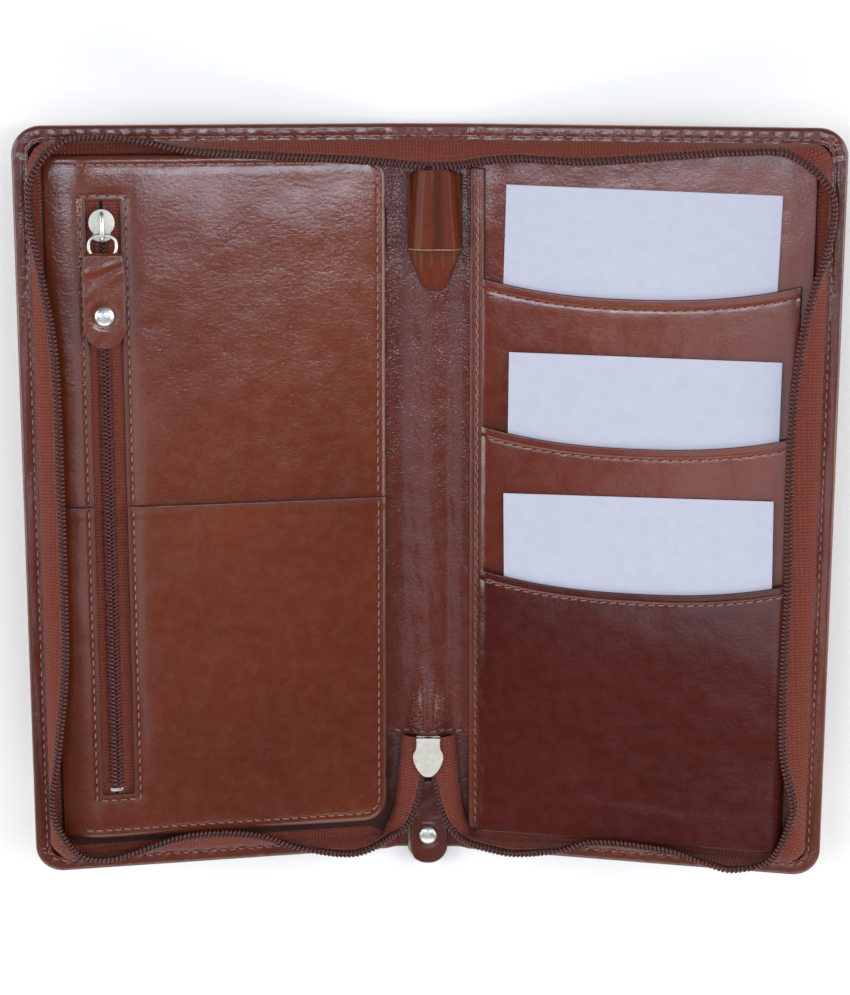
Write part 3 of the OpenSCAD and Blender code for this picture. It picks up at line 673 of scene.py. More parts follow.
def spine_height(x, v, side):
    """Top of the spine's leather lining at signed distance side * x from the middle."""
    s = side * x
    z = LINING_Z + 0.95 * ease((x - 7.0) / 7.5) + bell(s + 0.3, 4.6, 0.55)
    z = z + bell(s - 8.4, 1.6, 0.16) - bell(s - 6.0, 1.2, 0.08)
    z = z + 0.07 * ripple(s, v, 11, 71, 2.0) + 0.03 * ripple(s, v, 3.2, 72, 1.5)
    reach = ease((-54 - v) / 20)
    ridge = np.exp(-(x / 3.5) ** 4) * (2.3 - bell(x, 1.2, 0.25))
    folds = bell(x - 4.3, 0.7, 0.35) - bell(x - 5.9, 0.9, 0.3)
    return z + reach * (ridge + folds) - 0.5 * reach * np.exp(-(x / 4) ** 4)


def spine_lining(side):
    which = SIDES[side]
    x = columns(0, 15.2, (0, 0.5), (0, 0.5), 0.55)
    a, b = grid_of(x, LINING_LOW, INNER_V, (0, 0.15, 0.4, 0.8, 1.4), 0.9)
    d = np.minimum(b - LINING_LOW, 9)
    top = spine_height(a, b, side) - bell(d - 1.7, 0.5, 0.12)
    layer(f"spine_lining_{which}", lambda p: fold(p, side), "fold-" + which, a, b, top, 0.6, d, "spine",
          ["spine_lining"] if side < 0 else ())
    route = [(0.3, LINING_LOW + 1.7), (11.6, LINING_LOW + 1.7)]
    path = on_surface(route, lambda p, q: spine_height(p, q, side) - 0.1)
    stitch_row(f"spine_lining_stitches_{which}", path, lambda p: fold(p, side), "fold-" + which, slant=0.25)


LOOP_X = 1.5
LOOP_V = (80.2, 104.2)


def loop_ring(v, t):
    """Outer and inner outline of the pen loop at v, with t from its lower end to its upper end, and painted
    shade for the valleys between its folds.
    """
    turn = np.linspace(0, math.tau, 96, endpoint=False)
    c, s = np.cos(turn), np.sin(turn)
    half = 8.2 - 1.4 * t
    x = half * np.sign(c) * np.abs(c) ** 0.8
    lift = np.maximum(s, 0) ** 0.75
    bent = (x + 0.6) * (0.72 + 0.28 * t) - 0.5 + 0.15 * ripple(x, v, 12, 76)
    folds = 0.9 * np.cos((bent + 2.4) * 0.95) + 0.05 * ripple(x, v, 5, 77)
    crease = bell(bent + 4.9, 0.5, 0.3) + bell(bent - 4.6, 0.5, 0.3)
    z = (5.3 + 0.5 * t) * lift + (folds * 0.65 + crease) * np.maximum(s, 0) - 0.1 * (s < 0)
    # Painted shade: darkens the valleys between the folds, through the edge attribute.
    fold_shade = 1.1 * np.clip(0.2 - folds, 0, 1) * np.maximum(s, 0)
    mouth = 1.2 * t * np.cos(x / half * 1.4) * np.maximum(s, 0)
    y = v + mouth + 0.25 * np.sin(x * 0.9) * t
    inner = np.maximum(z - 0.8 * np.maximum(s, 0), 0.05) + 0.1 * (s <= 0)
    return (np.stack([LOOP_X + x, y, 3.15 + z], 1),
            np.stack([LOOP_X + x * (1 - 0.95 / half), y, 3.15 + inner], 1), fold_shade)


def pen_loop():
    """The pen loop: a soft flattened tube of one turned leather strip, and the flap it grows from."""
    v = np.linspace(LOOP_V[0], LOOP_V[1], 36)
    t = (v - v[0]) / (v[-1] - v[0])
    rings = [loop_ring(a, b) for a, b in zip(v, t)]
    rows, cols = len(v), len(rings[0][0])
    n = rows * cols
    verts = np.vstack([r[0] for r in rings] + [r[1] for r in rings])
    faces = grid_faces(rows, cols, wrap=True) + [f[::-1] for f in grid_faces(rows, cols, start=n, wrap=True)]
    for row in (0, rows - 1):
        for j in range(cols):
            k = (j + 1) % cols
            q = [row * cols + j, row * cols + k, row * cols + k + n, row * cols + j + n]
            faces.append(q if row else q[::-1])
    # Edge attribute: burnish at the loop's upper end, plus painted shade in its fold valleys.
    ends = np.tile(np.repeat(np.exp(-((1 - t) * 48) ** 2), cols) + np.concatenate([r[2] for r in rings]), 2)
    make("pen_loop_leather", verts, faces, "loop", "loop", ["pen_loop"], edge=ends)
    lip = rings[0][0][2:47] + (0, 0.1, 0.12)
    verts, faces = tube(lip, 0.17, 8)
    make("pen_loop_cut_edge", verts, faces, "cut", "loop")
    place = lambda p: np.stack([LOOP_X + p[:, 1], p[:, 0], p[:, 2]], 1)
    flap_v = columns(66.6, LOOP_V[1] - 0.4, (0, 0.2, 0.6, 1.2), (0, 0.5), 0.7)
    share = np.clip((flap_v - 66.4) / 14, 0, 1)
    width = 3.0 + 5.5 * share ** 0.9 - 3.0 * (1 - np.clip((flap_v - 66.4) / 2.6, 0, 1)) ** 3
    a, b = strap_grid(flap_v, -width, width, 33)
    d = np.minimum(np.minimum(width[:, None] - np.abs(b), a - 66.6), 6)
    rise = ease((a - 66.6) / 10)
    z = 3.25 + rise * (0.55 * np.cos((b + 2.2) * 1.05) + 0.15 * np.sin(b * 2.6 + 0.15 * a) + 0.9)
    z = z + 0.2 * ripple(b, a, 4, 75) * (1 - rise)
    layer("pen_loop_flap", place, "loop", a, b, z, 0.6, d, "loop", ["pen_loop_base"],
          edge_r=0.28, bottom=np.minimum(z - 0.6, 2.9))


def strap_grid(along, low, high, count):
    """Grid with rows along a strap and count places across it, closer together at its edges."""
    t = 0.5 - 0.5 * np.cos(np.linspace(0, math.pi, count))
    t = 0.35 * t + 0.65 * np.where(t < 0.5, 0.5 * (2 * t) ** 1.5, 1 - 0.5 * (2 - 2 * t) ** 1.5)
    lo, hi = np.asarray(low)[:, None], np.asarray(high)[:, None]
    return np.repeat(np.asarray(along, float)[:, None], count, 1), lo + t[None] * (hi - lo)


# ---------------------------------------------------------------- main zip

# Stations of each half of the zip, in opened-out (X, v, w): where the tape leaves the leather, and
# the middle of its coil. They run from inside the slider round the cover to the top of the spine.
LEAD = [((8.6, -79.0, 3.0), (0.85, -80.0, 5.1)), ((9.3, -87, 3.0), (1.1, -89, 5.1)),
        ((10.2, -95, 3.1), (2.3, -96, 5.2)), ((11.2, -103, 3.2), (4.3, -104.5, 5.6)),
        ((13.2, -109, 3.3), (7.2, -110.2, 6.2))]
RIGHT_ZIP = [((17, -112.6, 3.4), (12.2, -114.2, 7.4)), ((24, -113.3, 3.5), (22, -116.2, 8.6)),
             ((32, -113.3, 3.5), (31.1, -116.8, 9.2)), ((45, -113.3, 3.5), (45, -114.4, 9.8)),
             ((58, -113.3, 3.5), (58, -110.8, 9.4)), ((80.6, -113.3, 3.5), (80.6, -111.7, 9.6)),
             ((93, -113.3, 3.5), (93, -114.8, 9.8)), ((103, -113.3, 3.5), (102, -116.2, 9.6)),
             ((115, -113.0, 3.4), (113.8, -111.9, 9.4)), ((122.0, -108.5, 3.4), (119.2, -99.5, 9.6)),
             ((122.7, -93, 3.4), (119.8, -92, 9.4)), ((122.7, -76, 3.4), (116.2, -76.6, 9.0)),
             ((122.7, -50, 3.4), (115.5, -50, 8.8)), ((122.7, -23, 3.4), (115.8, -23, 8.8)),
             ((122.7, 4, 3.4), (115.1, 4, 8.8)), ((122.7, 36, 3.4), (115.5, 36.4, 8.8)),
             ((122.7, 63, 3.4), (118.7, 63.5, 9.4)), ((122.7, 85, 3.4), (124.3, 85.2, 9.6)),
             ((122.4, 103, 3.4), (124.2, 100.5, 9.6)), ((119.0, 111.8, 3.4), (111.9, 111.0, 9.6)),
             ((101, 113.3, 3.5), (98, 111.7, 9.6)), ((80, 113.3, 3.5), (79, 110.4, 9.4)),
             ((50, 113.3, 3.5), (50.1, 108.1, 9.0)), ((27, 113.3, 3.5), (26.8, 108.7, 8.8)),
             ((10, 113.3, 3.3), (9.9, 106.6, 8.2)), ((0, 113.3, 3.2), (0, 106.2, 8.0))]
LEFT_ZIP = [((17, -112.6, 3.4), (12.6, -113.0, 7.4)), ((26, -113.3, 3.5), (25.7, -117.5, 9.0)),
            ((44, -113.3, 3.5), (43.5, -114.2, 9.8)), ((57, -113.3, 3.5), (57.3, -109.4, 9.2)),
            ((71, -113.3, 3.5), (70.6, -107.8, 8.8)), ((84, -113.3, 3.5), (83.9, -108.6, 9.0)),
            ((103, -113.3, 3.5), (103.2, -113.3, 9.8)), ((115, -113.2, 3.4), (114.8, -111.9, 9.6)),
            ((122, -108, 3.4), (121.5, -102.7, 9.6)), ((122.7, -92, 3.4), (123.1, -92.7, 9.8)),
            ((122.7, -77, 3.4), (120.9, -77.5, 9.8)), ((122.7, -50, 3.4), (117.8, -50.6, 9.2)),
            ((122.7, -24, 3.4), (117.3, -24, 9.2)), ((122.7, 5, 3.4), (117.3, 5.4, 9.2)),
            ((122.7, 48, 3.4), (117.8, 48.2, 9.2)), ((122.7, 71, 3.4), (120.7, 71.3, 9.6)),
            ((122.7, 92, 3.4), (124.1, 92.7, 9.6)), ((122.2, 106, 3.4), (122.4, 105.4, 9.6)),
            ((117, 112.8, 3.4), (114.5, 113.8, 9.6)), ((104, 113.3, 3.5), (103.8, 115.5, 9.6)),
            ((90, 113.3, 3.5), (89.9, 114.2, 9.8)), ((75, 113.3, 3.5), (75.1, 111.4, 9.6)),
            ((50, 113.3, 3.5), (50, 109.6, 9.2)), ((25, 113.3, 3.5), (25, 108.2, 8.8)),
            ((8, 113.3, 3.3), (8, 106.8, 8.2)), ((0, 113.3, 3.2), (0, 106.2, 8.0))]
COIL_PITCH = 1.34
COIL_A, COIL_B = 0.88, 0.55     # half width and half height of the coil, to the middle of its wire
WIRE_R = 0.50               # the coil's wire
CORE_R = 0.55               # the cord inside the coil
EDGE_CORD = (1.45, 0.32)    # from the coil's middle to the cord in the tape's edge, and its radius
STEP = 0.5                  # between neighbouring places along the zip
TAPE_T = 0.5
FOOT_IN = 4.95              # from the organizer's outline to where the tape leaves the leather


def zip_lines(side):
    """Evenly spaced feet and coil middles of one half of the zip."""
    stations = LEAD + (LEFT_ZIP if side < 0 else RIGHT_ZIP)
    feet = catmull([f for f, _ in stations], 10)
    coil = catmull([c for _, c in stations], 10)
    coil, feet = even(coil, STEP, feet)
    inset = lambda p: box_inset(p[:, 0], p[:, 1], (-X_EDGE, -HALF_H), (X_EDGE, HALF_H), (CORNER_R,) * 4)
    d = inset(feet)
    down = np.stack([inset(feet + step) - d for step in ((0.01, 0, 0), (0, 0.01, 0))], 1) / 0.01
    feet[:, :2] -= down * ((d - FOOT_IN) * ease((10 - d) / 3))[:, None]
    return feet, coil


def tape_face(feet, coil, count):
    """Curve of the tape's middle from foot to coil, as an array of (place along, place across, 3)."""
    up = np.array([0, 0, 1.0])
    reach = np.linalg.norm(coil - feet, axis=1)[:, None]
    first = feet + up * 0.45 * reach
    t = np.linspace(0, 1, count)[None, :, None]
    f, m, c = feet[:, None], first[:, None], coil[:, None]
    return (1 - t) ** 2 * f + 2 * t * (1 - t) * m + t ** 2 * c


SEWN = (3.6, 1.8, 0.5)      # how far inwards from its foot the tape's hidden, sewn part lies
LEAD_FREE = 30              # length beside the slider that isn't sewn down


def zip_tape(side):
    which = SIDES[side]
    feet, coil = zip_lines(side)
    keep = np.arange(0, len(coil), 3)
    if keep[-1] != len(coil) - 1:
        keep = np.append(keep, len(coil) - 1)
    count = 12
    ahead = unit(np.gradient(feet, axis=0))
    inward = np.stack([-ahead[:, 1], ahead[:, 0], 0 * ahead[:, 0]], 1)
    sewn = ease((np.arange(len(feet)) * STEP - LEAD_FREE) / 14)[:, None]
    tail = [feet + inward * (0.05 * k + (k - 0.05 * k) * sewn) - (0, 0, 0.05) for k in SEWN]
    face = np.concatenate([np.stack(tail, 1), tape_face(feet, coil, count - len(SEWN))], 1)[keep]
    along = np.gradient(face, axis=0)
    across = np.gradient(face, axis=1)
    normal = unit(np.cross(along, across))
    s = np.concatenate([[0], np.cumsum(np.linalg.norm(np.diff(coil[keep], axis=0), axis=1))])
    flutter = 0.10 * np.sin(s * 0.9 + 1.3 * np.sin(s * 0.21))
    face = face + normal * (flutter[:, None] * np.sin(np.linspace(0, math.pi, count))[None])[..., None]
    front, back = face + normal * TAPE_T / 2, face - normal * TAPE_T / 2
    rows = len(keep)
    n = rows * count
    verts = np.vstack([front.reshape(-1, 3), back.reshape(-1, 3)])
    faces = grid_faces(rows, count)
    faces += [[i + n for i in f[::-1]] for f in grid_faces(rows, count)]
    for i in range(rows - 1):
        a, b = i * count, (i + 1) * count
        faces.append([b, a, a + n, b + n])
        a, b = a + count - 1, b + count - 1
        faces.append([a, b, b + n, a + n])
    for j in range(count - 1):
        faces.append([j, j + 1, j + 1 + n, j + n])
        a = (rows - 1) * count + j
        faces.append([a + 1, a, a + n, a + 1 + n])
    uv = np.stack([np.repeat(s, count), np.tile(np.linspace(0, 11.5, count), rows)], 1)
    nodes = [f"{which}_zip_tape", f"lead_tape_{which}"] + (["top_zip_tape"] if side < 0 else [])
    make(f"zip_tape_{which}", fold(verts, side), faces, "tape", "fold-" + which, nodes,
         uv=np.tile(uv, (2, 1)))


def zip_coil(side):
    """The coil's wire wound along the tape's free edge, over its cord."""
    which = SIDES[side]
    feet, coil = zip_lines(side)
    ahead = unit(np.gradient(coil, axis=0))
    out = unit(coil - (0.35 * feet + 0.65 * (feet + (0, 0, 6))))
    out = unit(out - ahead * (out * ahead).sum(1)[:, None])
    face = np.cross(ahead, out)
    s = np.arange(len(coil)) * STEP
    per = 12
    turns = int(s[-1] / COIL_PITCH)
    at = np.linspace(0, turns * COIL_PITCH, turns * per + 1)
    pick = lambda q: np.stack([np.interp(at, s, q[:, k]) for k in range(3)], 1)
    angle = math.tau * at / COIL_PITCH
    wide = COIL_A * (0.55 + 0.45 * ease((at - 18) / 14))
    wire = (pick(coil) + pick(out) * (wide * np.cos(angle))[:, None]
            + pick(face) * (COIL_B * np.sin(angle))[:, None])
    thick = WIRE_R + 0.05 * np.maximum(np.cos(angle), 0) ** 2
    coil_tube = tube(wire, thick, 6)
    core = tube(coil[::4], CORE_R, 7)
    fine = np.linspace(0, s[-1], int(s[-1] / COIL_PITCH * 6))
    bead = lambda q: np.stack([np.interp(fine, s, q[:, k]) for k in range(3)], 1)
    beads = 0.26 + 0.07 * np.cos(math.tau * fine / COIL_PITCH)
    seams = [tube(bead(coil + face * (COIL_B + 0.32) * side_of), beads, 6) for side_of in (-1, 1)]
    cord = tube((coil - out * EDGE_CORD[0])[::2], EDGE_CORD[1], 7)
    verts, faces = join([coil_tube, core])
    nodes = [f"{which}_zip_coil", f"lead_coil_{which}"] + (["top_zip_coil"] if side < 0 else [])
    make(f"zip_coil_{which}", fold(verts, side), faces, "coil", "fold-" + which, nodes, sharp=0)
    verts, faces = join(seams)
    make(f"zip_seam_{which}", fold(verts, side), faces, "seam", "fold-" + which, sharp=0)
    verts, faces = cord
    make(f"zip_edge_{which}", fold(verts, side), faces, "cord", "fold-" + which, sharp=0)


# ---------------------------------------------------------------- page

PAGE_LOW_EDGE = 5.02
PAGE_LEATHER_T = 0.8
PAGE_TOP = 6.55             # height of the page's front before it fills out
ROLL_DROP = 3.0             # how far the roll comes down over ROLL_U
BAG_IN = 3.5                # from the page's outline to its inner bag


def page_puff(u, v):
    """Top of the page's front: slightly full, rolled down at its edges and its outer side."""
    d = box_inset(u, v, (PAGE_U[0], PAGE_V[0]), (ROLL_U[1] + 6, PAGE_V[1]), (PAGE_R, 2, 2, PAGE_R))
    full = 0.42 * ease(d / 22) * (0.7 + 0.3 * np.cos(v / 60))
    roll = ROLL_DROP * np.clip((u - ROLL_U[0]) / (ROLL_U[1] - ROLL_U[0]), 0, 1) ** 1.8
    turned = 0.55 * np.clip(1 - d / 2.0, 0, 1) ** 2
    wave = 0.09 * ripple(u, v, 30, 81) * ease(d / 6)
    sewn_down = 0.45 * np.exp(-(window_outside(u, v) / 4) ** 2)
    return PAGE_TOP + full + wave - roll - turned - sewn_down, d


def window_outside(u, v):
    """Distance outside the zip window."""
    du = np.maximum(np.maximum(WINDOW_U[0] - u, u - WINDOW_U[1]), 0)
    dv = np.maximum(np.maximum(WINDOW_V[0] - v, v - WINDOW_V[1]), 0)
    return np.hypot(du, dv)


WINDOW_NEAR = (0, 0.12, 0.3, 0.7, 1.2, 1.5, 1.8, 2.1, 2.7)
WINDOW_STITCH = 1.8


def page_columns():
    extra = [WINDOW_U[0] - n for n in WINDOW_NEAR] + [WINDOW_U[1] + n for n in WINDOW_NEAR]
    return columns(PAGE_U[0], ROLL_U[1], NEAR + (5, 6.2, 8), (0, 0.7, 1.4), 1.3, extra)


def hinge_blend(obj):
    """Bakes a page piece's transform into its mesh; the ends of the page's turn are worked out but not used,
    and nothing is bent.
    """
    start, end = left((105.0, 0, 4.2)) * MM, left((98.6, 0, 4.2)) * MM
    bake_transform(obj)


def page_layer(name, look, v_low, v_high, top_of, nodes, rows, bottom=None):
    """A layer of the page with the zip window cut out of it."""
    u = page_columns()
    cut = corner_drop(u, PAGE_U[0], 999, PAGE_R, 0)
    low = v_low + (cut if v_low == PAGE_V[0] else 0 * cut)
    high = v_high - (cut if v_high == PAGE_V[1] else 0 * cut)
    share = np.asarray(rows)
    a = np.repeat(u[:, None], len(share), 1)
    b = low[:, None] + (share - v_low)[None] * ((high - low) / (v_high - v_low))[:, None]
    for place in (WINDOW_V[0], WINDOW_V[1]):
        if v_low < place < v_high:
            b[:, np.argmin(np.abs(share - place))] = place
    mid_u, mid_v = (a[:-1, :-1] + a[1:, 1:]) / 2, (b[:-1, :-1] + b[1:, 1:]) / 2
    keep = ~((mid_u > WINDOW_U[0]) & (mid_u < WINDOW_U[1]) & (mid_v > WINDOW_V[0]) & (mid_v < WINDOW_V[1]))
    top, d = top_of(a, b)
    hole = window_outside(a, b)
    under = None if bottom is None else bottom(a, b, d)
    top = top - bell(hole - WINDOW_STITCH, 0.5, 0.13)
    obj = layer(name, left, None, a, b, top, PAGE_LEATHER_T, np.minimum(d, hole), look, nodes, keep,
                edge_r=0.32, bottom=under)
    hinge_blend(obj)


def front_surface(u, v):
    top, d = page_puff(u, v)
    return top - bell(d - STITCH_IN, 0.5, 0.14), d


def pocket_surface(u, v):
    """The passport pocket's front, lying on the page's front with its own turned upper edge."""
    top, d = page_puff(u, v)
    lip = PASSPORT_V - v + 0.0 * u
    slack = bell(lip - 4, 10, 0.28) * ease(d / 25)
    hem = 0.16 * ease((4.2 - lip) / 1.2)
    return top + 0.85 + slack + hem - bell(d - STITCH_IN, 0.5, 0.14), np.minimum(d, lip)


def page():
    window_rows = [WINDOW_V[0] - n for n in WINDOW_NEAR] + [WINDOW_V[1] + n for n in WINDOW_NEAR]
    rim = lambda a, b, d: np.minimum(PAGE_LOW_EDGE + 0.7 * ease((d - 2.2) / 1.5), page_puff(a, b)[0] - 0.75)
    rows = columns(PAGE_V[0], PAGE_V[1], step=2.4, extra=window_rows)
    page_layer("page_front_leather", "page", PAGE_V[0], PAGE_V[1], front_surface, ["page_front"],
               rows, bottom=rim)
    rows = columns(PAGE_V[0], PASSPORT_V, step=2.4, near_high=(0, 0.12, 0.3, 0.6, 1.0, 1.6, 2.2, 3, 4, 5),
                   extra=window_rows[:len(WINDOW_NEAR)])
    page_layer("passport_pocket_leather", "pocket", PAGE_V[0], PASSPORT_V, pocket_surface,
               ["passport_pocket"], rows)
    page_back()
    page_hinge()
    page_stitches()


def page_back():
    u = columns(PAGE_U[0], PAGE_U[1], (0, 0.2, 0.5, 1.2, 2.9, 4, 6, 8), (0, 0.3, 1), 4)
    cut = corner_drop(u, PAGE_U[0], 999, PAGE_R, 0)
    a, b = grid_of(u, PAGE_V[0] + cut, PAGE_V[1] - cut, (0, 0.2, 0.5, 1.2, 2.6, 2.9, 3.2), 4)
    d = box_inset(a, b, (PAGE_U[0], PAGE_V[0]), (PAGE_U[1], PAGE_V[1]), (PAGE_R, 1, 1, PAGE_R))
    low = 4.2 + 0.12 * ripple(a, b, 35, 83) * ease(d / 10) * 0.5 + bell(d - STITCH_IN, 0.5, 0.12)
    layer("page_back_leather", left, "page", a, b, 5.0 + 0 * a, PAGE_LEATHER_T, d, "page", ["page_back"],
          bottom=low)
    bag = box_inset(a, b, (PAGE_U[0] + BAG_IN, PAGE_V[0] + BAG_IN), (PAGE_U[1] - BAG_IN, PAGE_V[1] - BAG_IN),
                    (5, 1, 1, 5))
    keep = (bag[:-1, :-1] > 0) & (bag[1:, 1:] > 0) & (bag[1:, :-1] > 0) & (bag[:-1, 1:] > 0)
    top = 5.5 + 0.05 * ripple(a, b, 18, 84)
    verts, faces, _ = slab(a, b, top, top - 0.3, keep)
    uv = np.tile(np.stack([a, b], -1).reshape(-1, 2), (2, 1))
    verts, faces, uv = used(verts, faces, uv)
    obj = make("page_bag_cloth", left(verts), faces, "lining", "page", ["page_bag"], uv=uv)


HINGE = ((99.8, 4.9), (101.6, 4.4), (103.0, 3.95), (104.4, 3.9), (105.4, 3.85), (106.2, 3.85))


def page_hinge():
    """The strip that joins the page's outer side to the cover."""
    route = catmull([(u, 0, w) for u, w in HINGE], 4)[:, [0, 2]]
    v = columns(PAGE_V[0] + 4, PAGE_V[1] - 4, (0, 0.5, 2), (0, 0.5, 2), 3)
    a = np.repeat(route[:, :1], len(v), 1)
    w = np.repeat(route[:, 1:], len(v), 1)
    b = np.repeat(v[None], len(route), 0)
    w = w + 0.05 * ripple(a, b, 12, 85)
    verts, faces, _ = slab(a, b, w, w - 0.6)
    obj = make("page_hinge_leather", left(verts), faces, "page", None, ["page_hinge_strip"])
    hinge_blend(obj)


def page_stitches():
    inner_u, outer_u = PAGE_U[0] + STITCH_IN, 99.0
    r = PAGE_R - STITCH_IN
    low, high = PAGE_V[0] + STITCH_IN, PAGE_V[1] - STITCH_IN
    turn = np.linspace(math.pi / 2, math.pi, 8)
    top_corner = np.stack([inner_u + r + r * np.cos(turn), high - r + r * np.sin(turn)], 1)
    low_corner = np.stack([top_corner[::-1, 0], low + high - top_corner[::-1, 1]], 1)
    front = lambda u, v: front_surface(u, v)[0] + 0.02
    pocket = lambda u, v: pocket_surface(u, v)[0] + 0.02
    upper = np.vstack([[[outer_u + 1.5, high]], top_corner, [[inner_u, PASSPORT_V + 1.2]]])
    lower = np.vstack([[[inner_u, PASSPORT_V - 0.8]], low_corner, [[outer_u + 1.5, low]]])
    stitch_row("page_stitches_upper", on_surface(upper, front), left, "page")
    stitch_row("page_stitches_lower", on_surface(lower, pocket), left, "page")
    s = WINDOW_STITCH
    w0, w1 = WINDOW_U[0] - s, WINDOW_U[1] + s
    v0, v1 = WINDOW_V[0] - s, WINDOW_V[1] + s * 0.8
    above = [(w0, PASSPORT_V + 1.2), (w0, v1), (w1, v1), (w1, PASSPORT_V + 1.2)]
    below = [(w0, PASSPORT_V - 0.8), (w0, v0), (w1, v0), (w1, PASSPORT_V - 0.8)]
    stitch_row("window_stitches_upper", on_surface(above, front), left, "page", length=1.9)
    stitch_row("window_stitches_lower", on_surface(below, pocket), left, "page", length=1.9)


# ---------------------------------------------------------------- zip of the page pocket

CHAIN_W = 6.35
CHAIN_PITCH = 1.3


def inner_zip():
    v0, v1 = WINDOW_V[0] - 1.5, WINDOW_V[1] + 1.5
    for name, u0, u1 in (("spine", WINDOW_U[0] - 1.5, ZIP_U - 0.5), ("edge", ZIP_U + 0.5, WINDOW_U[1] + 1.5)):
        a, b = grid_of(np.linspace(u0, u1, 9), v0, v1, (0, 0.5), 2.5)
        toward = np.abs(a - ZIP_U)
        top = 5.72 + 0.22 * ease((4 - toward) / 3) + 0.05 * ripple(a, b, 6, 91, 0.3)
        verts, faces, _ = slab(a, b, top, top - 0.4)
        uv = np.tile(np.stack([b, a], -1).reshape(-1, 2), (2, 1))
        make(f"pocket_zip_tape_{name}", left(verts), faces, "tape", "page",
             [f"inner_zip_tape_{name}_side"], uv=uv)
    low, high = WINDOW_V[0] + 2.2, WINDOW_V[1] - 1.4
    for name, sign in (("spine", -1), ("edge", 1)):
        chain_half(name, sign, low, high, f"inner_zip_coil_{name}_side")
    for name, v, sunk in (("top", high + 1.9, 1.3), ("bottom", low - 0.8, 0.0)):
        zip_stop(name, v, sunk)


def chain_half(name, sign, low, high, node):
    """One half of the closed chain: a slanted tooth for every turn of its wire, and the cord behind them."""
    count = int((high - low) / CHAIN_PITCH)
    parts = []
    for i in range(count):
        v = low + (i + (0.5 if sign > 0 else 0.0)) * CHAIN_PITCH + 0.4
        path = [(ZIP_U + sign * 2.1, v + 0.75, CHAIN_W - 0.5), (ZIP_U + sign * 1.95, v + 0.7, CHAIN_W),
                (ZIP_U + sign * 1.2, v + 0.35, CHAIN_W + 0.28), (ZIP_U + sign * 0.4, v - 0.1, CHAIN_W + 0.25),
                (ZIP_U - sign * 0.1, v - 0.4, CHAIN_W)]
        parts.append(tube(path, (0.26, 0.31, 0.35, 0.37, 0.30), 7))
    core = [(ZIP_U + sign * 1.2, low, CHAIN_W - 0.42), (ZIP_U + sign * 1.2, high, CHAIN_W - 0.42)]
    parts.append(tube(core, 0.6, 7))
    verts, faces = join(parts)
    make(f"pocket_zip_chain_{name}", left(verts), faces, "coil", "page", [node])


def zip_stop(name, v, sunk):
    """A crimped metal stop across the chain."""
    a, b = grid_of(np.linspace(-2.1, 2.1, 15), v - 0.55, v + 0.55, (0, 0.1, 0.25), 0.2)
    top = CHAIN_W + 0.35 - sunk - 0.5 * (np.abs(a) / 2.1) ** 3
    d = np.minimum(2.1 - np.abs(a), 0.55 - np.abs(b - v))
    layer(f"pocket_zip_stop_{name}", lambda p: left(p + (ZIP_U, 0, 0)), "page", a, b, top, 1.0, d, "nickel",
          [f"inner_zip_stop_{name}"], edge_r=0.2)


# ---------------------------------------------------------------- pulls

TAB_LEN = 28.2
TAB_W = 12.9
TAB_T = 2.0
RIVET_AT = 18.2


def outline_width(y, shape):
    """Half width at distance y along a tab whose sides pass through the (y, half width) of shape."""
    ys, ws = np.array(shape).T
    fine = catmull(np.column_stack([ys, ws]), 8)
    width = np.interp(y, fine[:, 0], fine[:, 1])
    r = TAB_W / 2
    past = np.clip(y - (TAB_LEN - r), 0, r)
    return np.minimum(width, np.sqrt(np.maximum(r * r - past * past, 0)) + 0 * y)


def pull_tab(name, place, body, shape, crease, look, node):
    """A leather pull: one strip folded round the ring, stitched back on itself by its rivet."""
    y = np.concatenate([np.linspace(-1.15, 0, 8), np.linspace(0.4, TAB_LEN - 3, 40),
                        TAB_LEN - 3 * np.cos(np.linspace(0, math.pi / 2, 14))[1:]])
    y = np.unique(np.round(np.clip(y, -1.15, TAB_LEN - 0.01), 4))
    half = np.maximum(outline_width(y, shape), 0.05)
    a, b = strap_grid(y, -half, half, 27)
    d = np.minimum(half[:, None] - np.abs(b), np.maximum(TAB_LEN - a, 0))
    nose = np.clip(-a / 1.15, 0, 1)
    half_t = TAB_T / 2 * np.sqrt(np.maximum(1 - nose ** 2, 0.0))
    top, low = half_t + crease(a, b), -half_t + np.maximum(crease(a, b) - 0.35, 0)
    dimple = bell(np.hypot(a - RIVET_AT, b) - 3.2, 0.8, 0.30)
    layer(name, place, body, a, b, top - dimple, TAB_T, d, look, [node], edge_r=0.45,
          wall="cut", bottom=low, burn=0.5)


def lathe(profile, sides=40):
    """Closed body of revolution round w from (radius, w) points that start and end on the axis."""
    profile = np.asarray(profile, float)
    turn = np.linspace(0, math.tau, sides, endpoint=False)
    ring = profile[1:-1]
    verts = np.stack([ring[:, :1] * np.cos(turn), ring[:, :1] * np.sin(turn),
                      np.repeat(ring[:, 1:], sides, 1)], -1).reshape(-1, 3)
    faces = grid_faces(len(ring), sides, wrap=True)
    verts = np.vstack([verts, [[0, 0, profile[0, 1]], [0, 0, profile[-1, 1]]]])
    first, last = len(verts) - 2, len(verts) - 1
    end = (len(ring) - 1) * sides
    faces += [[(j + 1) % sides, j, first] for j in range(sides)]
    faces += [[end + j, end + (j + 1) % sides, last] for j in range(sides)]
    return verts, faces


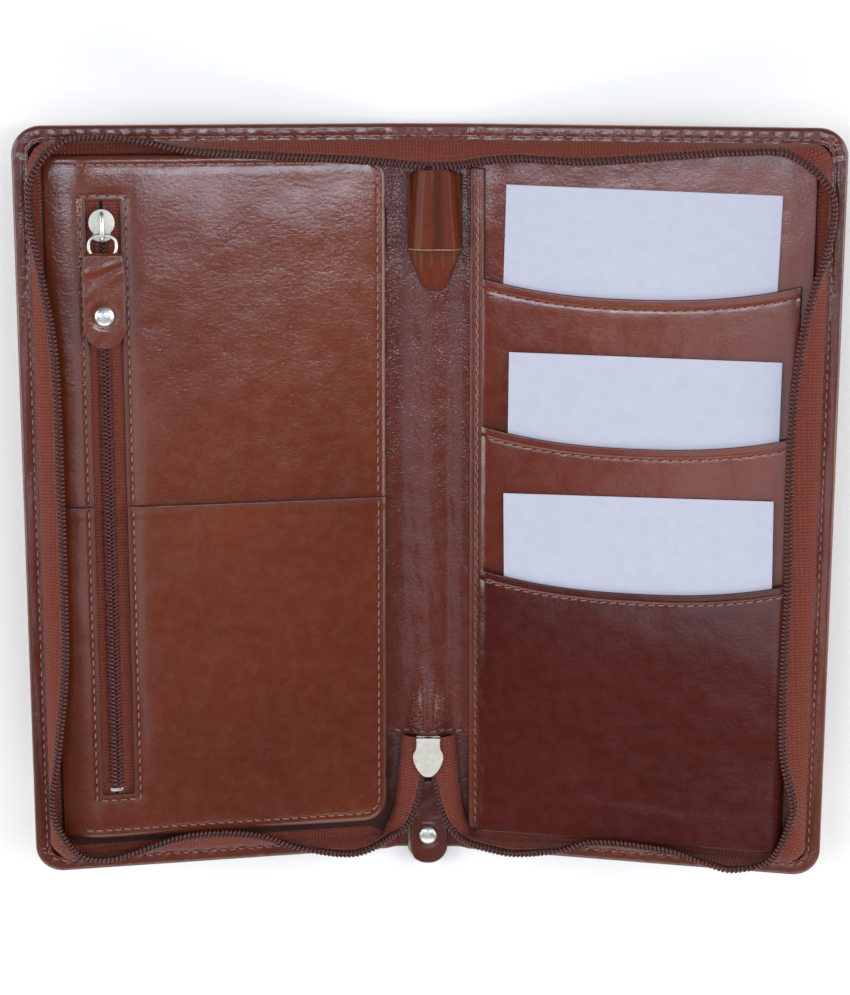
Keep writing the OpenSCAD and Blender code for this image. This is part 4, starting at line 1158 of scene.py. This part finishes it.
def rivet(name, place, body, node):
    """Domed rivet through a tab, with its flange pressed into the leather."""
    half = TAB_T / 2
    dome = [(3.0 * math.sin(t), half + 0.25 + 1.15 * math.cos(t)) for t in np.linspace(math.pi / 2, 0, 10)]
    back = [(0, -half - 0.25), (1.9, -half - 0.22), (2.3, -half - 0.02), (1.3, -half + 0.1)]
    profile = back + [(1.3, half - 0.1), (2.6, half - 0.05), (2.95, half + 0.02)] + dome
    profile[-1] = (0, profile[-1][1])
    verts, faces = lathe(profile)
    make(name, place(verts + (RIVET_AT, 0, 0)), faces, "nickel", body, [node])


def ring(name, place, body, half_w, length, wire, node):
    """Round-cornered wire ring from y = 0 to y = -length, in its own plane."""
    t = np.linspace(0, math.tau, 56, endpoint=False)
    squash_x = np.sign(np.cos(t)) * np.abs(np.cos(t)) ** 0.85 * half_w
    y = -length / 2 + np.sign(np.sin(t)) * np.abs(np.sin(t)) ** 0.85 * length / 2
    verts, faces = tube(np.stack([squash_x, y, 0 * t], 1), wire, 12, close=True)
    make(name, place(verts), faces, "nickel", body, [node])


INNER_BAR = (ZIP_U, 86.4, 9.05)
INNER_RING = 6.6
MAIN_BAR = (0, -86.5, 2.45)
MAIN_RING = 9.4


def at_inner(p):
    return left(np.asarray(p) * (-1, 1, 1) + INNER_BAR)


def at_inner_tab(p):
    """Tab coordinates (along, across, up) of the page's pull to the world."""
    p = np.asarray(p, float)
    return at_inner(np.stack([p[:, 1], -INNER_RING - p[:, 0], p[:, 2]], 1))


def at_main(p):
    return np.asarray(p, float) + MAIN_BAR


def at_main_tab(p):
    """Tab coordinates of the main pull to the world; its left side is cut at a slant."""
    p = np.asarray(p, float)
    slant = 0.55 * ease((-p[:, 1] - 4.4) / 1.4) * ease((p[:, 0] - 10) / 3)
    return at_main(np.stack([p[:, 1] + slant * p[:, 2], -MAIN_RING - p[:, 0], p[:, 2]], 1))


def pulls():
    def inner_folds(y, x):
        fold_line = bell(y - 3.4 + 0.28 * x, 0.8, 0.30) - bell(y - 5.4 + 0.45 * x, 1.1, 0.32)
        soft = bell(y - 8.5 + 0.7 * x, 1.3, 0.10) + 0.03 * np.sin(0.7 * y + 1.1 * x)
        return 0.55 * fold_line + soft

    def main_folds(y, x):
        crease = -bell(y - 14.2 - 0.05 * x, 0.55, 0.28) + bell(y - 13.0, 0.9, 0.18)
        curl = 0.5 * np.clip(-x / 6.4, 0, 1) ** 2 * ease((y - 10) / 4)
        return 0.3 * crease + 0.03 * np.sin(0.9 * y + 0.7 * x) + curl

    inner_shape = [(-1.2, 5.2), (-0.4, 5.7), (0.8, 6.0), (3, 6.3), (8, 6.45), (24, 6.4)]
    main_shape = [(-1.2, 2.6), (1.2, 2.65), (5, 3.7), (9, 4.9), (12.4, 6.3), (15, 6.45), (24, 6.4)]
    pull_tab("page_pull_leather", at_inner_tab, "inner_tab", inner_shape, inner_folds, "page",
             "inner_pull_tab")
    pull_tab("main_pull_leather", at_main_tab, "main_pull", main_shape, main_folds, "pull",
             "main_pull_tab")
    rivet("page_pull_rivet", at_inner_tab, "inner_tab", "inner_pull_rivet")
    rivet("main_pull_rivet", at_main_tab, "main_pull", "main_pull_rivet")
    ring("page_pull_ring", at_inner, "inner_ring", 4.2, INNER_RING + 0.4, 0.5, "inner_pull_ring")
    ring("main_pull_ring_wire", at_main, "main_pull", 3.2, MAIN_RING, 0.55, "main_pull_ring")


# ---------------------------------------------------------------- sliders

def oval(x, y, half_x, half_y, count=48):
    turn = np.linspace(0, math.tau, count, endpoint=False)
    return np.stack([x + half_x * np.cos(turn), y + half_y * np.sin(turn)], 1)


def plate(outline, w0, w1, bevel=0.22, dome=0.0):
    """A plate with bevelled rims from a closed outline; dome raises the middle of its top."""
    outline = np.asarray(outline, float)
    mid = outline.mean(0)
    shrink = lambda s: mid + (outline - mid) * s
    size = np.abs(outline - mid).max()
    k = bevel / size
    rings = [(shrink(1 - 2 * k), w0), (shrink(1 - 0.3 * k), w0 + bevel * 0.4), (outline, w0 + bevel),
             (outline, w1 - bevel), (shrink(1 - 0.3 * k), w1 - bevel * 0.4), (shrink(1 - 2 * k), w1)]
    for s in (0.75, 0.5, 0.25):
        rings.append((shrink(s), w1 + dome * (1 - s * s)))
    n = len(outline)
    verts = np.vstack([np.column_stack([r, np.full(n, w)]) for r, w in rings]
                      + [[[*mid, w1 + dome]], [[*mid, w0]]])
    faces = grid_faces(len(rings), n, wrap=True)
    top, low = len(verts) - 2, len(verts) - 1
    last = (len(rings) - 1) * n
    faces += [[last + j, last + (j + 1) % n, top] for j in range(n)]
    faces += [[(j + 1) % n, j, low] for j in range(n)]
    return verts, faces


SHIELD = ((0, -92.9), (1.3, -92.6), (2.7, -91.4), (3.9, -89.6), (4.7, -87.6), (4.95, -86.1), (4.72, -84.8),
          (4.12, -83.7), (3.85, -82.4), (3.8, -80.6), (3.65, -79.7), (0, -79.6))


def shield():
    half = catmull(np.array(SHIELD), 5)
    half = half[half[:, 0] > 0.01]
    half = np.vstack([[[0, -92.9]], half, [[0, -79.6]]])
    mirror = half[1:-1][::-1] * (-1, 1)
    return np.vstack([half, mirror])


def main_slider():
    outline = shield()
    parts = [plate(outline, 3.4, 4.15), plate(outline, 6.0, 6.85, 0.25, 0.10)]
    parts.append(plate(oval(0, -91.3, 0.45, 0.9, 14), 4.0, 6.1, 0.05))
    for s in SIDES:
        lip = oval(s * 3.6, -81.9, 0.2, 2.0, 16)
        parts += [plate(lip, 4.05, 4.75, 0.06), plate(lip, 5.55, 6.1, 0.06)]
    verts, faces = join(parts)
    make("main_slider_shell", verts, faces, "worn", "main_slider", ["main_slider_body"])
    bail = catmull([(0, -90.6, 3.5), (0, -90.5, 2.2), (0, -89.2, 1.55), (0, -86.5, 1.5), (0, -83.8, 1.55),
                    (0, -82.5, 2.2), (0, -82.4, 3.5)], 6)
    verts, faces = tube(bail, 0.5, 10, squash=1.0, up=(1, 0, 0))
    make("main_slider_bridge", verts, faces, "worn", "main_slider", ["main_slider_bail"])


def inner_slider():
    place = lambda p: left(np.asarray(p) * (-1, 1, 1) + (ZIP_U, 89.8, 0))
    disc, foot = oval(0, 0.1, 3.95, 4.15), oval(0, -4.1, 3.0, 1.5)
    parts = [plate(disc, 7.0, 7.75, 0.22, 0.18), plate(foot, 6.95, 7.45, 0.15, 0.05),
             plate(disc * (0.62, 0.8), 5.1, 5.6, 0.12)]
    parts.append(plate(oval(0, 1.5, 0.42, 1.0), 5.5, 7.1, 0.05))
    verts, faces = join(parts)
    make("page_slider_disc", place(verts), faces, "worn", "inner_slider", ["inner_slider_body"])
    line = catmull([(0, 3.0, 7.7), (0, 2.9, 8.5), (0, 1.8, 9.5), (0, -0.6, 10.0), (0, -3.2, 9.95),
                    (0, -4.6, 9.4), (0, -5.1, 8.4), (0, -5.0, 7.7)], 4)
    verts, faces = tube(line, 0.62, 12, squash=0.62, up=(1, 0, 0))
    verts[:, 0] *= 1.75
    make("page_slider_bridge", place(verts), faces, "nickel", "inner_slider", ["inner_slider_bail"])


def zip_tail():
    """The sewn end of the closed chain, running up under the spine's lining."""
    v = np.linspace(-79.4, -60.4, 24)
    half = np.full_like(v, 2.9)
    a, b = strap_grid(v, -half, half, 13)
    rise = ease((-74 - a) / 5)
    top = 2.95 + 1.2 * rise - 0.5 * (np.abs(b) / 2.9) ** 4
    verts, faces, _ = slab(a, b, top, top - 1.0)
    place = lambda p: np.stack([p[:, 1], p[:, 0], p[:, 2]], 1)
    uv = np.tile(np.stack([a, b], -1).reshape(-1, 2), (2, 1))
    make("zip_tail_tape", place(verts), faces, "tape", "spine", ["zip_tail"], uv=uv)


# ---------------------------------------------------------------- card panel

def panel_base_height(u, v):
    rise = 0.4 * ease((u - 7) / 9) - 0.08 * ease((u - 98) / 8)
    return PANEL_TOP + rise + 0.10 * ripple(u, v, 34, 101) + 0.03 * ripple(u, v, 9, 102)


def card_panel():
    u = columns(1.6, 107.5, (0, 0.3, 0.8), NEAR[:6] + (2.5, 4, 5.4), 2.2, extra=(6.0, 7.5, 9, 11))
    reach = 111.7 - corner_drop(u, -99, 107.5, 0, 5.4)
    a, b = grid_of(u, -reach, reach, NEAR[:6] + (2.5, 4), 2.6)
    d = box_inset(a, b, (-50, -111.7), (107.5, 111.7), (5.4,) * 4)
    layer("card_panel_leather", right, "right_cover", a, b, panel_base_height(a, b), 0.7, d, "panel",
          ["card_panel_base"])
    strip()
    for i in range(len(LEVELS)):
        pocket(i)
        card(i)


def strip_height(u, v):
    mid = (STRIP_U[0] + STRIP_U[1]) / 2
    crown = 0.35 * (1 - ((u - mid) / 2.6) ** 2)
    ridge = bell(u - STRIP_U[1] + 0.35, 0.35, 0.32)
    return PANEL_TOP + 0.75 + crown + ridge - bell(u - mid, 0.5, 0.22) + 0.05 * ripple(u, v, 14, 111, 0.3)


def strip():
    """The edging beside the spine; it leans a little outwards towards its lower end."""
    u = np.linspace(STRIP_U[0], STRIP_U[1], 19)
    a, b = grid_of(u, -110.4, 105.6, NEAR[:5], 2.0)
    d = np.minimum(np.minimum(a - STRIP_U[0], STRIP_U[1] - a), np.minimum(b + 110.4, 105.6 - b))
    lean = lambda p: right(p + np.stack([0.55 * (-p[:, 1]) / 110, 0 * p[:, 1], 0 * p[:, 1]], 1))
    layer("card_panel_edging", lean, "right_cover", a, b, strip_height(a, b), 0.95, d, "panel",
          ["card_panel_strip"], edge_r=0.35)
    mid = (STRIP_U[0] + STRIP_U[1]) / 2
    path = on_surface([(mid, 104.2), (mid, -109)], lambda p, q: strip_height(p, q) + 0.02)
    stitch_row("card_panel_edging_stitches", path, lean, "right_cover", slant=0.2)


POCKET_MID = (POCKET_U[0] + POCKET_U[1]) / 2
POCKET_HALF = (POCKET_U[1] - POCKET_U[0]) / 2


def pocket_edge(i, u):
    """v of a pocket's hollow upper edge: flat in its middle, rising faster at its ends."""
    t = np.abs(u - POCKET_MID) / POCKET_HALF
    return POCKET_V[i] - POCKET_SAG * (1 - t ** 2.4)


def pocket_height(i, u, v):
    """Top of a pocket's front: it lies on the layers below and bulges over its card."""
    base = PANEL_TOP + CARD_LIFT + CARD[2] + 0.75 + i * LAYER_STEP
    over = ease((v - CARD_V[i] + 40) / 55)
    base = base + 0.15 * (1 - ((u - POCKET_MID) / POCKET_HALF) ** 2) * over
    sink = (0.4 + 0.5 * i) * (1 - over)
    lip = pocket_edge(i, u) - v
    hem = 0.18 * ease((3.0 - lip) / 0.8) - bell(lip - 3.4, 0.45, 0.12)
    side = 1.15 * np.clip(1 - (u - POCKET_U[0]) / 3.2, 0, 1) ** 2 * (0.35 + 0.35 * i)
    far = 1.5 * np.clip(1 - (POCKET_U[1] - u) / 3.0, 0, 1) ** 2 * (0.35 + 0.35 * i)
    return (base - sink + hem - side - far + 0.05 * ripple(u, v, 26, 120 + i)
            + 0.02 * ripple(u, v, 7, 130 + i))


def pocket(i):
    name = LEVELS[i]
    u = columns(POCKET_U[0], POCKET_U[1], NEAR[:7] + (3.2,), NEAR[:7] + (3.2,), 2.0)
    near = (0, 0.12, 0.3, 0.6, 1.0, 1.6, 2.2, 2.6, 3.0, 3.4, 3.8, 4.6)
    a, b = grid_of(u, POCKET_LOW[i], pocket_edge(i, u), near, 2.2)
    lip = pocket_edge(i, a) - b
    d = np.minimum(np.minimum(a - POCKET_U[0], POCKET_U[1] - a), np.minimum(b - POCKET_LOW[i], lip))
    top = pocket_height(i, a, b)
    if i == 2:
        top = top - debossed_bar(a, b)
    layer(f"card_pocket_{name}_leather", right, "right_cover", a, b, top, 0.6, d,
          "dark" if i == 2 else "panel", [f"card_pocket_{name}"], burn=0.5)
    u = np.linspace(POCKET_U[0] + 2.2, POCKET_U[1] - 1.8, 60)
    route = np.stack([u, pocket_edge(i, u) - 3.4], 1)
    path = on_surface(route, lambda p, q: pocket_height(i, p, q) + 0.02)
    stitch_row(f"card_pocket_{name}_stitches", path, right, "right_cover", slant=0.15)


BAR = ((41, -94.6), (76, -98.6), 2.0)


def debossed_bar(u, v):
    """Depth of the plain pressed bar near the foot of the lowest pocket."""
    a, b = np.array(BAR[0]), np.array(BAR[1])
    way = (b - a) / np.linalg.norm(b - a)
    s = (u - a[0]) * way[0] + (v - a[1]) * way[1]
    t = -(u - a[0]) * way[1] + (v - a[1]) * way[0]
    length = np.linalg.norm(b - a)
    inside = np.minimum(np.minimum(s, length - s), BAR[2] - np.abs(t))
    return 0.16 * ease(inside / 0.5)


def card(i):
    name = LEVELS[i]
    w, h, t = CARD
    a, b = grid_of(columns(-w / 2, w / 2, (0, 0.1, 0.4), (0, 0.1, 0.4), 5), -h / 2, h / 2, (0, 0.1, 0.4), 5)
    d = box_inset(a, b, (-w / 2, -h / 2), (w / 2, h / 2))
    turn = math.radians(CARD_TILT[i])

    def place(p):
        u = p[:, 0] * math.cos(turn) - p[:, 1] * math.sin(turn) + CARD_U[i] + w / 2
        v = p[:, 0] * math.sin(turn) + p[:, 1] * math.cos(turn) + CARD_V[i] + h / 2
        rest = PANEL_TOP + CARD_LIFT + i * LAYER_STEP
        bow = 0.1 * (1 - (p[:, 0] / (w / 2)) ** 2)
        return right(np.stack([u, v, rest + bow + p[:, 2]], 1))

    layer(f"card_{name}_stock", place, f"card_{name}", a, b, t + 0 * a, t, d, "card",
          [f"card_{name}"], edge_r=0.05, burn=0.05)


# ---------------------------------------------------------------- floor, light and camera

CAMERA_TILT = math.radians(12.08)
CAMERA_YAW = math.radians(0.46)
CAMERA_ROLL = math.radians(-0.15)
CAMERA_AWAY = 0.7241
LENS = 81.2
SHIFT = (-0.0040, -0.0011)


def camera():
    back = np.array([math.sin(CAMERA_YAW) * math.cos(CAMERA_TILT), math.sin(CAMERA_TILT),
                     math.cos(CAMERA_YAW) * math.cos(CAMERA_TILT)])
    across = unit(np.cross([0, 1, 0], back))
    up = np.cross(back, across)
    c, s = math.cos(CAMERA_ROLL), math.sin(CAMERA_ROLL)
    across, up = c * across - s * up, s * across + c * up
    cam = link("camera", bpy.data.cameras.new("camera"))
    cam.data.lens, cam.data.sensor_width = LENS, 36
    cam.data.shift_x, cam.data.shift_y = SHIFT
    cam.data.clip_start = 0.05
    turn = Matrix(((across[0], up[0], back[0]), (across[1], up[1], back[1]), (across[2], up[2], back[2])))
    cam.matrix_world = Matrix.Translation(tuple(back * CAMERA_AWAY)) @ turn.to_4x4()
    bpy.context.scene.camera = cam


def softbox(name, place, size, power, aim=(0, 0, 0), colour=(1, 1, 1)):
    light = bpy.data.lights.new(name, "AREA")
    light.shape, light.size, light.size_y = "RECTANGLE", size[0], size[1]
    light.energy, light.color = power, colour
    obj = link(name, light)
    obj.location = place
    obj.rotation_euler = (Vector(aim) - Vector(place)).to_track_quat("-Z", "Y").to_euler()


FLOOR_GAP = 0.0004        # keeps the floor just under the leather
FLOOR_HALF = 0.85


def floor():
    k = Look("floor_paper")
    tone = k.ramp(k.noise(k.place(), 5, 2), [(0.3, (0.96, 0.945, 0.925)), (0.7, (0.98, 0.965, 0.945))])
    k.set(Base_Color=tone, Roughness=0.9)
    mesh = bpy.data.meshes.new("floor")
    corners = [(x * FLOOR_HALF, y * FLOOR_HALF, -FLOOR_GAP) for x, y in ((-1, -1), (1, -1), (1, 1), (-1, 1))]
    mesh.from_pydata(corners, [], [(0, 1, 2, 3)])
    mesh.materials.append(k.material)
    link("floor", mesh)


WINDOW_TINT = (0.72, 0.84, 1.0)
ROOM_TINT = (1.0, 0.985, 0.95)


def backdrop():
    """A dim world for the light, and a pale one that only the camera sees past the floor's edge."""
    world = bpy.data.worlds.new("studio")
    bpy.context.scene.world = world
    world.use_nodes = True
    nodes, links = world.node_tree.nodes, world.node_tree.links
    dim, pale = nodes["Background"], nodes.new("ShaderNodeBackground")
    dim.inputs["Color"].default_value = (0.80, 0.88, 1.0, 1)
    dim.inputs["Strength"].default_value = 0.07
    pale.inputs["Color"].default_value = (0.96, 0.965, 0.975, 1)
    choose = nodes.new("ShaderNodeMixShader")
    seen = nodes.new("ShaderNodeLightPath").outputs["Is Camera Ray"]
    for socket, value in zip(choose.inputs, (seen, dim.outputs[0], pale.outputs[0])):
        links.new(value, socket)
    links.new(choose.outputs[0], nodes["World Output"].inputs["Surface"])


def studio():
    backdrop()
    middle, upper = (0, 0, 0), (0.0, 0.10, 0)
    softbox("window_left", (-0.29, 0.17, 1.02), (0.30, 0.36), 0.95, upper, WINDOW_TINT)
    softbox("window_left_edge", (-0.375, 0.165, 1.01), (0.10, 0.36), 1.25, upper, WINDOW_TINT)
    softbox("window_right", (0.345, 0.16, 1.02), (0.11, 0.40), 2.3, upper, WINDOW_TINT)
    softbox("glow", (-0.08, -0.20, 1.02), (0.34, 0.34), 0.5, middle, WINDOW_TINT)
    softbox("side_left", (-1.5, 0.3, 0.66), (1.5, 1.2), 25, middle, ROOM_TINT)
    softbox("side_right", (1.5, 0.3, 0.66), (1.5, 1.2), 25, middle, ROOM_TINT)
    softbox("front", (0.0, -1.5, 0.9), (2.6, 1.2), 21, middle, ROOM_TINT)
    bpy.context.scene.view_settings.view_transform = "Standard"


def cad_parts():
    """Boards stay as CAD nodes, with a material."""
    for name in ("spine_board", "left_cover_board", "right_cover_board"):
        node = frame["nodes"][name]
        node.data.materials.clear()
        node.data.materials.append(M["board"])


for s in SIDES:
    cover_half(s)
    cover_lining(s)
    spine_lining(s)
    zip_tape(s)
    zip_coil(s)
pen_loop()
zip_tail()
page()
inner_zip()
inner_slider()
main_slider()
pulls()
card_panel()
cad_parts()
floor()
camera()
studio()
